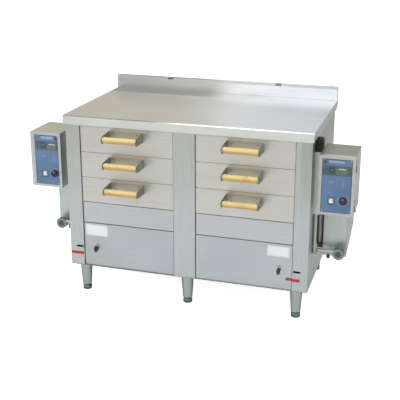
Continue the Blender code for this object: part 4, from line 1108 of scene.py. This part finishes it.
backLook = {
    "sheet": 0.0030,
    # the timer: its bore goes round the dial's shaft, and it narrows beyond its shoulder
    "timerRadius": 0.0160,
    "timerDepth": 0.0300,
    "timerShoulder": 0.022,
    "timerNarrow": 0.8,
    "bore": 0.0125,
    "boreDepth": 0.0090,
    "switchFront": 0.0080,
    "collarHalf": (0.0128, 0.0143),
    "collarHole": (0.0109, 0.0124),
    "switchHalf": (0.0118, 0.0133),
    "switchFoot": (0.0060, 0.0100),
    "displayArea": (0.061, 0.167, 0.101, 0.195),
    "tipHalf": (0.0012, 0.0004),
    "timerTips": 0.009,  # radius of the circle they stand on
}


def dressDoorBack(hand, spot):
    # the housings of the timer, the switch, the display and the lamp on the rear of the door's sheet
    look = backLook
    dial, button, body = spot.dial, spot.button, spot.body
    rear = spot.face + look["sheet"] + 0.0001
    radius, bore, depth = look["timerRadius"], look["bore"], look["timerDepth"]
    narrow, shoulder = radius * look["timerNarrow"], look["timerShoulder"]
    profile = [(0, look["boreDepth"]), (bore, look["boreDepth"]), (bore, 0), (radius, 0)]
    profile += [(radius, shoulder), (narrow, shoulder), (narrow, depth), (0, depth)]
    place = (dial.x, rear, dial.z)
    addRound(f"timer_body_{hand}", profile, place, toRear, 32, "relayGrey", body, 0.0004)
    front = rear + look["switchFront"]
    rings = [boxAround(button.x, button.z, *look["collarHalf"], 0.002)]
    rings.append(boxAround(button.x, button.z, *look["collarHole"], 0.0015))
    addCutPlate(f"switch_collar_{hand}", rings, look["switchFront"], rear, "contactorBlack", body)
    switch = bmesh.new()
    addPrism(switch, boxAround(button.x, button.z, *look["switchHalf"], 0.001), front, front + 0.016)
    addPrism(switch, boxAround(button.x, button.z, *look["switchFoot"], 0.001), front + 0.0155, front + 0.020)
    closeShape(f"switch_body_{hand}", switch, "contactorBlack", body, 0.0004)
    left = spot.left + spot.shift
    others = bmesh.new()
    x, z = plateLook["lampPlace"]
    lampBack = [(0.0070, 0), (0.0070, 0.012), (0.0055, 0.012), (0.0055, 0.016)]
    addTurned(others, lampBack, (left + x, rear, spot.bottom + z), toRear, 24)
    x0, z0, x1, z1 = look["displayArea"]
    addPrism(others, roundedBox(left + x0, spot.bottom + z0, left + x1, spot.bottom + z1, 0.002), rear, rear + 0.013)
    closeShape(f"display_body_{hand}", others, "relayGrey", body, 0.0004)
    tips = bmesh.new()
    places = [(button.x + x, button.z + z, front + 0.020) for x in (-0.004, 0.004) for z in (-0.006, 0.006)]
    for turn in range(4):
        angle = math.radians(45 + 90 * turn)
        x, z = look["timerTips"] * math.cos(angle), look["timerTips"] * math.sin(angle)
        places.append((dial.x + x, dial.z + z, rear + depth))
    for x, z, level in places:
        addPrism(tips, boxAround(x, z, *look["tipHalf"], 0.0002), level - 0.0005, level + 0.004)
    closeShape(f"terminal_tips_{hand}", tips, "brightMetal", body)


for hand in hands:
    spots = doorSpots(hand)
    addFaceplate(hand, spots)
    addOverlays(hand, spots)
    addScale(hand, spots)
    addPlateFittings(hand, spots)
    dressKnobs(hand, spots)
    dressDoorBack(hand, spots)
# painted light: the left door takes the paler copy of the door steel
dressed["control_door_left"].data.materials[0] = finish["doorPale"]
print("control doors done")

boxLook = {
    "floor": 0.519,  # under the lowest of the parts
    "wall": -0.10225,  # which the parts are fixed to
    "between": 0.014,  # from one part up to the next
    # the terminal block, the contactor and the relay: finish, then width, depth and height
    "parts": (
        ("terminalCream", (0.100, 0.022, 0.018)),
        ("contactorBlack", (0.046, 0.060, 0.078)),
        ("relayGrey", (0.034, 0.045, 0.044)),
    ),
    "terminals": 8,
    "terminalPitch": 0.0115,
    "firstWire": 1.2,  # terminals to the left of the first wire
    "polePitch": 0.013,
    "relayPitch": 0.010,
    "wireRadius": 0.0013,
    "wireColours": ("wireBrown", "wireBlue", "wireGreen"),
    "rivetPlaces": ((-0.240, 0.53), (-0.240, 0.735), (-0.125, 0.53), (-0.125, 0.735)),
    "topAbove": 0.7595,
}


def insideOf(low, high):
    # a test for faces whose centre lies between two corners
    return lambda centre, normal: all(a < value < b for a, value, b in zip(low, centre, high))


def dressControlBox(hand):
    side, look = hands[hand], boxLook
    box = dressed[f"control_box_{hand}"]
    middle = side * (doorLook["inner"] + doorLook["outer"]) / 2
    seats = []  # the front and the lower edge of each part
    level = look["floor"]
    for finishName, (width, depth, height) in look["parts"]:
        front, half = look["wall"] - depth, width / 2 + 0.0004
        low = (middle - half, front - 0.0006, level - 0.0004)
        high = (middle + half, look["wall"] + 0.0008, level + height + 0.0004)
        repaint(box, finishName, insideOf(low, high))
        seats.append((front, level))
        level += height + look["between"]
    (blockY, blockZ), (contactorY, contactorZ), (relayY, relayZ) = seats
    first = middle - (look["terminals"] - 1) / 2 * look["terminalPitch"]  # the leftmost terminal
    screws = bmesh.new()
    for way in range(look["terminals"]):
        addScrew(screws, (first + way * look["terminalPitch"], blockY, blockZ + 0.009), toFront, 0.0032, 0.0014)
    for x in (-look["polePitch"], 0, look["polePitch"]):
        for z in (0.010, 0.068):
            addScrew(screws, (middle + x, contactorY, contactorZ + z), toFront, 0.0034, 0.0016)
    for x in (-look["relayPitch"], look["relayPitch"]):
        for z in (0.008, 0.036):
            addScrew(screws, (middle + x, relayY, relayZ + z), toFront, 0.003, 0.0014)
    closeShape(f"terminal_screws_{hand}", screws, "brightMetal")
    covers = bmesh.new()
    z = contactorZ + 0.039
    addPrism(covers, boxAround(middle, z, 0.017, 0.017, 0.002), contactorY - 0.003, contactorY + 0.001)
    addPrism(covers, boxAround(middle, z, 0.006, 0.007, 0.001), contactorY - 0.006, contactorY - 0.0025)
    closeShape(f"contactor_face_{hand}", covers, "relayGrey", softening=0.0006)
    radius, colours = look["wireRadius"], look["wireColours"]
    for way in range(3):
        start = (first + (way + look["firstWire"]) * look["terminalPitch"], blockY - 0.001, blockZ + 0.0155)
        end = (middle + (way - 1) * look["polePitch"], contactorY + 0.002, contactorZ - 0.0005)
        path = bowed(start, end, (0, -0.006 - 0.002 * way, 0))
        addTube(f"control_wire_{way + 1}_{hand}", path, radius, colours[way])
    for way in range(2):
        x = middle + (way * 2 - 1) * look["relayPitch"]
        path = bowed((x, contactorY + 0.004, contactorZ + 0.0785), (x, relayY + 0.004, relayZ - 0.0005), (0, -0.004, 0))
        addTube(f"relay_wire_{way + 1}_{hand}", path, radius, colours[way])
    rivets = bmesh.new()
    for y, z in look["rivetPlaces"]:
        addScrew(rivets, (side * doorLook["outer"], y, z), (side, 0, 0), 0.0030, 0.0014)
    closeShape(f"housing_rivets_{hand}", rivets, "brightMetal")
    # painted light and shade: each box's top gets its own lit or shaded copy of the steel
    top = look["topAbove"]
    repaint(box, f"boxTop{hand.capitalize()}", lambda centre, normal: centre.z > top and normal.z > 0.9)


for hand in hands:
    dressControlBox(hand)
print("control boxes done")

gaugeLook = {
    "nutRadius": 0.0108,
    "nutHeight": 0.008,
    "waterLevel": 0.405,
    "waterRadius": 0.0050,
    "guardRadius": 0.0016,
    "guardOffset": 0.0104,
    "fittingHalf": 0.0095,  # of the blocks that hold the glass, front to rear
    "lowerFitting": (0.27, 0.3005),
    "upperFitting": (0.4540, 0.4734),
    "shadeSheet": (0.5548, 0.3008, 0.5862, 0.4536),  # from the cabinet's middle
    "strip": (-0.0048, 0.3020, 0.0048, 0.4524),  # from the middle of the glass
}


def dressGauge(hand):
    look = gaugeLook
    glassLow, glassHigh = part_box(f"gauge_glass_{hand}")
    x, y = (glassLow.x + glassHigh.x) / 2, (glassLow.y + glassHigh.y) / 2
    half = look["fittingHalf"]

    def onFitting(centre, normal):
        beside = abs(centre.x) < tankLook["inner"] and abs(centre.y - y) < half
        return beside and any(low < centre.z < high for low, high in (look["lowerFitting"], look["upperFitting"]))

    repaint(dressed[f"feed_tank_{hand}"], "fittingDark", onFitting)
    nuts = bmesh.new()
    for z, axis in ((glassLow.z - 0.0002, upward), (glassHigh.z + 0.0002, downward)):
        addNut(nuts, (x, y, z), axis, look["nutRadius"], look["nutHeight"], False)
    closeShape(f"gauge_nuts_{hand}", nuts, "fittingDark", softening=0.0005)
    radius, top = look["waterRadius"], look["waterLevel"]
    profile = [(radius, glassLow.z + 0.001), (radius, top), (radius * 0.7, top - 0.0006), (0, top - 0.0008)]
    addRound(f"gauge_water_{hand}", profile, (x, y, 0), upward, 20, "clearWater")
    guards = bmesh.new()
    profile = [(look["guardRadius"], glassLow.z - 0.002), (look["guardRadius"], glassHigh.z + 0.002)]
    for offset in (-look["guardOffset"], look["guardOffset"]):
        addTurned(guards, profile, (x + offset, y - 0.004, 0), upward, 12)
    closeShape(f"gauge_guards_{hand}", guards, "fittingDark")
    plugs = bmesh.new()
    profile = [(0.0062, -0.001), (0.0062, 0.004), (0.0052, 0.0055), (0, 0.0058)]
    addTurned(plugs, profile, (x, y - 0.009, glassLow.z - 0.009), toFront, 20)
    profile = [(0.0050, -0.001), (0.0050, 0.003), (0.004, 0.0042), (0, 0.0045)]
    addTurned(plugs, profile, (x, y - 0.009, glassHigh.z + 0.009), toFront, 20)
    closeShape(f"gauge_plugs_{hand}", plugs, "fittingDark")


def backGauge(hand):
    # painted shade: a dark sheet behind the glass stands for the shadow there, with a pale strip on it
    look, side = gaugeLook, hands[hand]
    low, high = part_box(f"gauge_glass_{hand}")
    x, near = (low.x + high.x) / 2, (low.y + high.y) / 2 + look["fittingHalf"]
    x0, z0, x1, z1 = look["shadeSheet"]
    x0, x1 = sorted((side * x0, side * x1))
    outline = roundedBox(x0, z0, x1, z1, 0.001)
    addBlock(f"gauge_shade_sheet_{hand}", outline, near, near + 0.001, "shadeSheetDark")
    x0, z0, x1, z1 = look["strip"]
    outline = roundedBox(x + x0, z0, x + x1, z1, 0.0005)
    addBlock(f"gauge_strip_{hand}", outline, near - 0.0006, near + 0.0001, "labelWhite")


tankLook = {
    "inner": 0.587,  # the tank's sides, from the cabinet's middle
    "outer": 0.691,
    "bracketX": 0.570,
    "bracketDrop": 0.0752,
    "bracketBolts": (-0.03865, 0.09687),
    "weldIn": 0.0010,
    "weldFrom": 0.2530,
    "weldLength": 0.2475,
    "weldBeads": 90,
    "weldRadius": 0.0013,
    "weldRipple": 0.10,
}


def dressTank(hand):
    look = tankLook
    side = hands[hand]
    low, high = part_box(f"feed_tank_{hand}")
    bolts = bmesh.new()
    for y in look["bracketBolts"]:
        addNut(bolts, (side * look["bracketX"], y, high.z - look["bracketDrop"]), upward, 0.0048, 0.003)
    closeShape(f"tank_bracket_bolts_{hand}", bolts, "brightMetal")
    gap, beads = look["weldIn"], look["weldBeads"]
    heights = [look["weldFrom"] + look["weldLength"] * bead / beads for bead in range(beads + 1)]
    for number, edge in enumerate((look["inner"] + gap, look["outer"] - gap)):
        seam = [(side * edge, low.y + gap, height) for height in heights]
        name = f"tank_weld_{number + 1}_{hand}"
        addTube(name, seam, look["weldRadius"], "weldSteel", look["weldRipple"])


unionLook = {
    "place": (0.662, -0.16125, 0.2787),  # the middle of its face
    "radius": 0.027,
    "gripRim": (0.0262, 0.0268, 28),
    "gripReach": (0.0026, 0.0158),  # behind the face
    "seat": ((0.0132, 0), (0.0132, 0.0016), (0.0122, 0.0024), (0.0088, 0.0024), (0.0080, 0.0016), (0.0080, 0.0004)),
    "seatBack": 0.0054,
    "threadFrom": -0.1425,
    "threadPitch": 0.0032,
    "thread": ((0.0158, -0.0013), (0.0170, 0), (0.0158, 0.0013)),
    "threadTurns": 5,
    "pipe": (0.5625, -0.19425),
    "clipHeights": (0.34, 0.44),
    "clip": ((0.0094, -0.004), (0.0094, 0.004)),
}


def dressUnion(hand):
    look = unionLook
    side = hands[hand]
    reach, face, z = look["place"]
    x = side * reach

    def onUnion(centre, normal):
        return math.hypot(abs(centre.x) - reach, centre.z - z) < look["radius"] and centre.y > face - 0.002

    repaint(dressed[f"inlet_union_{hand}"], "unionSteel", onUnion)
    near, far = look["gripReach"]
    rim = toothedCircle(x, z, *look["gripRim"])
    # painted shade: the grip is dark for the shade between the union's ring and the tank
    addBlock(f"union_grip_{hand}", rim, face + near, face + far, "fittingDark", softening=0.0003)
    place = (x, face + look["seatBack"], z)
    addRound(f"union_seat_{hand}", look["seat"], place, toFront, 28, "unionPale")
    thread = bmesh.new()
    for turn in range(look["threadTurns"]):
        addTurned(thread, look["thread"], (x, look["threadFrom"] + turn * look["threadPitch"], z), toRear, 28)
    closeShape(f"union_thread_{hand}", thread, "fittingMetal")
    clips = bmesh.new()
    pipeX, pipeY = look["pipe"]
    for height in look["clipHeights"]:
        addTurned(clips, look["clip"], (side * pipeX, pipeY, height), upward, 24)
    closeShape(f"pipe_clips_{hand}", clips, "unionPale", softening=0.0006)


for hand in hands:
    dressGauge(hand)
    dressTank(hand)
    backGauge(hand)
    dressUnion(hand)
print("feed tanks done")

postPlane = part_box("side_panel_left")[0].y
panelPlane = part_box("lower_panel_left")[0].y
labelLook = {
    "thickness": 0.0005,
    "corner": 0.0015,
    "border": (0.0030, 0.0037),  # the grey line lies between these, in from the edge
    "left": (-0.475, 0.288, -0.369, 0.340),
    "right": (0.374, 0.290, 0.471, 0.338),
}
stripLook = {
    "thickness": 0.0005,
    "left": (-0.5515, 0.1905, -0.4885, 0.2045),
    "right": (0.4575, 0.184, 0.5205, 0.1975),
}
leverPlate = ((0.0145, 0), (0.0145, 0.0006), (0.0138, 0.0011), (0.0065, 0.0011))


def addLabel(hand):
    area, thick = labelLook[hand], labelLook["thickness"]
    outline = roundedBox(*area, labelLook["corner"])
    addBlock(f"blank_label_{hand}", outline, panelPlane - thick, panelPlane + 0.0001, "labelWhite")
    outer, inner = labelLook["border"]
    rings = [roundedBox(*grown(area, -outer), 0.001), roundedBox(*grown(area, -inner), 0.0008)]
    near = panelPlane - thick - 0.00012
    addCutPlate(f"label_border_{hand}", rings, 0.0002, near, "labelGrey")


def addStrips():
    thick = stripLook["thickness"]
    outline = roundedBox(*stripLook["left"], 0.001)
    addBlock("red_strip_left", outline, postPlane - thick, postPlane + 0.0001, "stripRed")
    # the right strip runs from the panel over the edge of the post
    x0, z0, x1, z1 = stripLook["right"]
    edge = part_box("side_panel_right")[0].x
    outline = [(x0, panelPlane), (edge - 0.0001, panelPlane), (edge - 0.0001, postPlane - 0.00005)]
    outline += [(x1, postPlane - 0.00005), (x1, postPlane - thick), (edge - thick, postPlane - thick)]
    outline += [(edge - thick, panelPlane - thick), (x0, panelPlane - thick)]
    addBlock("red_strip_right", outline, z0, z1, "stripRed", along="Z")


def addLeverPlate(hand):
    low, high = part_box(f"drain_knob_{hand}")
    place = ((low.x + high.x) / 2, panelPlane, (low.z + high.z) / 2)
    addRound(f"drain_escutcheon_{hand}", leverPlate, place, toFront, 32, "brightMetal")


for hand in hands:
    addLabel(hand)
addStrips()
for hand in hands:
    addLeverPlate(hand)

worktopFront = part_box("worktop")[0].y
topLook = {"edgeDepth": 0.004, "foldDepth": 0.005, "splashAbove": 0.853}
# painted highlight on the front edge, painted shade and highlight on the fold above it, painted reflection on the
# backsplash
topPaints = {
    "edgeSteel": lambda centre, normal: centre.y < worktopFront + topLook["edgeDepth"] and normal.y < -0.6,
    "foldSteel": lambda centre, normal: centre.y < worktopFront + topLook["foldDepth"] and 0.5 < normal.z < 0.9,
    "splashSteel": lambda centre, normal: centre.z > topLook["splashAbove"] and normal.y < -0.6,
}
for finishName, chosen in topPaints.items():
    repaint(dressed["worktop"], finishName, chosen)
slotLook = {"fromMiddle": 0.2744, "half": 0.0145, "low": 0.9065, "high": 0.9130, "splashFront": 0.642}


def shadeSlots():
    # the dark of the two slots where they run over the backsplash's upper fold
    front = worktopFront + slotLook["splashFront"]
    for hand, side in hands.items():
        middle, half = side * slotLook["fromMiddle"], slotLook["half"]
        outline = roundedBox(middle - half, slotLook["low"], middle + half, slotLook["high"], 0.002)
        addBlock(f"slot_shade_{hand}", outline, front - 0.0003, front + 0.0005, "slotShade")


shadeSlots()
print("fronts done")

legLook = {
    "plateHalf": 0.0375,
    "plateThickness": 0.0030,
    "boltHalf": 0.031,
    # the foot's black pad: a share of the foot's radius, what is added to it, and the height
    "pad": ((0.82, 0, 0), (0.97, 0, 0.0008), (1, 0.0002, 0.0032), (1, 0.0002, 0.0068), (1, -0.001, 0.0074)),
}
backScrews = {"size": (0.0040, 0.0018), "across": (-0.53, -0.265, 0, 0.265, 0.53), "up": (0.175, 0.49, 0.825)}


def dressLegs():
    look = legLook
    plates, bolts = bmesh.new(), bmesh.new()
    for place in (f"{row}_{column}" for row in ("front", "rear") for column in ("left", "centre", "right")):
        low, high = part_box(f"leg_{place}")
        middle = (low + high) / 2
        under = high.z - look["plateThickness"]
        outline = boxAround(middle.x, middle.y, look["plateHalf"], look["plateHalf"], 0.006)
        addPrism(plates, outline, under, high.z - 0.0001, "Z")
        for dx in (-look["boltHalf"], look["boltHalf"]):
            for dy in (-look["boltHalf"], look["boltHalf"]):
                addNut(bolts, (middle.x + dx, middle.y + dy, under), downward, 0.0046, 0.0028)
        foot = f"foot_{place}"
        low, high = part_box(foot)
        radius = (high.x - low.x) / 2
        profile = [(radius * share + more, height) for share, more, height in look["pad"]]
        centre = ((low.x + high.x) / 2, (low.y + high.y) / 2, 0)
        addRound(f"pad_{place}", profile, centre, upward, 36, "footBlack", homes[foot])
    closeShape("leg_plates", plates, "legSteel", softening=0.0005)
    closeShape("leg_plate_bolts", bolts, "boltSteel")


def screwBack():
    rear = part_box("back_panel")[1].y
    screws = bmesh.new()
    for x in backScrews["across"]:
        for z in backScrews["up"]:
            addScrew(screws, (x, rear, z), toRear, *backScrews["size"])
    closeShape("back_panel_screws", screws, "brightMetal")


dressLegs()
screwBack()
print("legs and rear done")

floorLook = {"glow": 0.82, "half": 20.0, "tones": ((0.92, 0.92, 0.915), (0.94, 0.94, 0.935))}


def makeFloor():
    shape = bmesh.new()
    half = floorLook["half"]
    shape.faces.new([shape.verts.new((x, y, 0)) for x, y in plainBox(-half, -half, half, half)])
    floor = placeMesh("studioFloor", shape)
    material, tree, shader = startMaterial("floorWhite")
    slow = placeGroup(tree, tonalDrift, {"Scale": 0.6, "Contrast": 1.0})
    wire(tree, blendColour(tree, slow["Drift"], *floorLook["tones"]), shader.inputs["Base Color"])
    shader.inputs["Roughness"].default_value = 0.9
    shader.inputs["Emission Color"].default_value = (1, 1, 1, 1)
    # the glow is for the camera only, the steel mirrors the plain floor
    path = addNode(tree, "ShaderNodeLightPath")
    glow = addMath(tree, "MULTIPLY", path.outputs["Is Camera Ray"], floorLook["glow"])
    wire(tree, glow, shader.inputs["Emission Strength"])
    floor.data.materials.append(material)


makeFloor()

print("pieces ready")
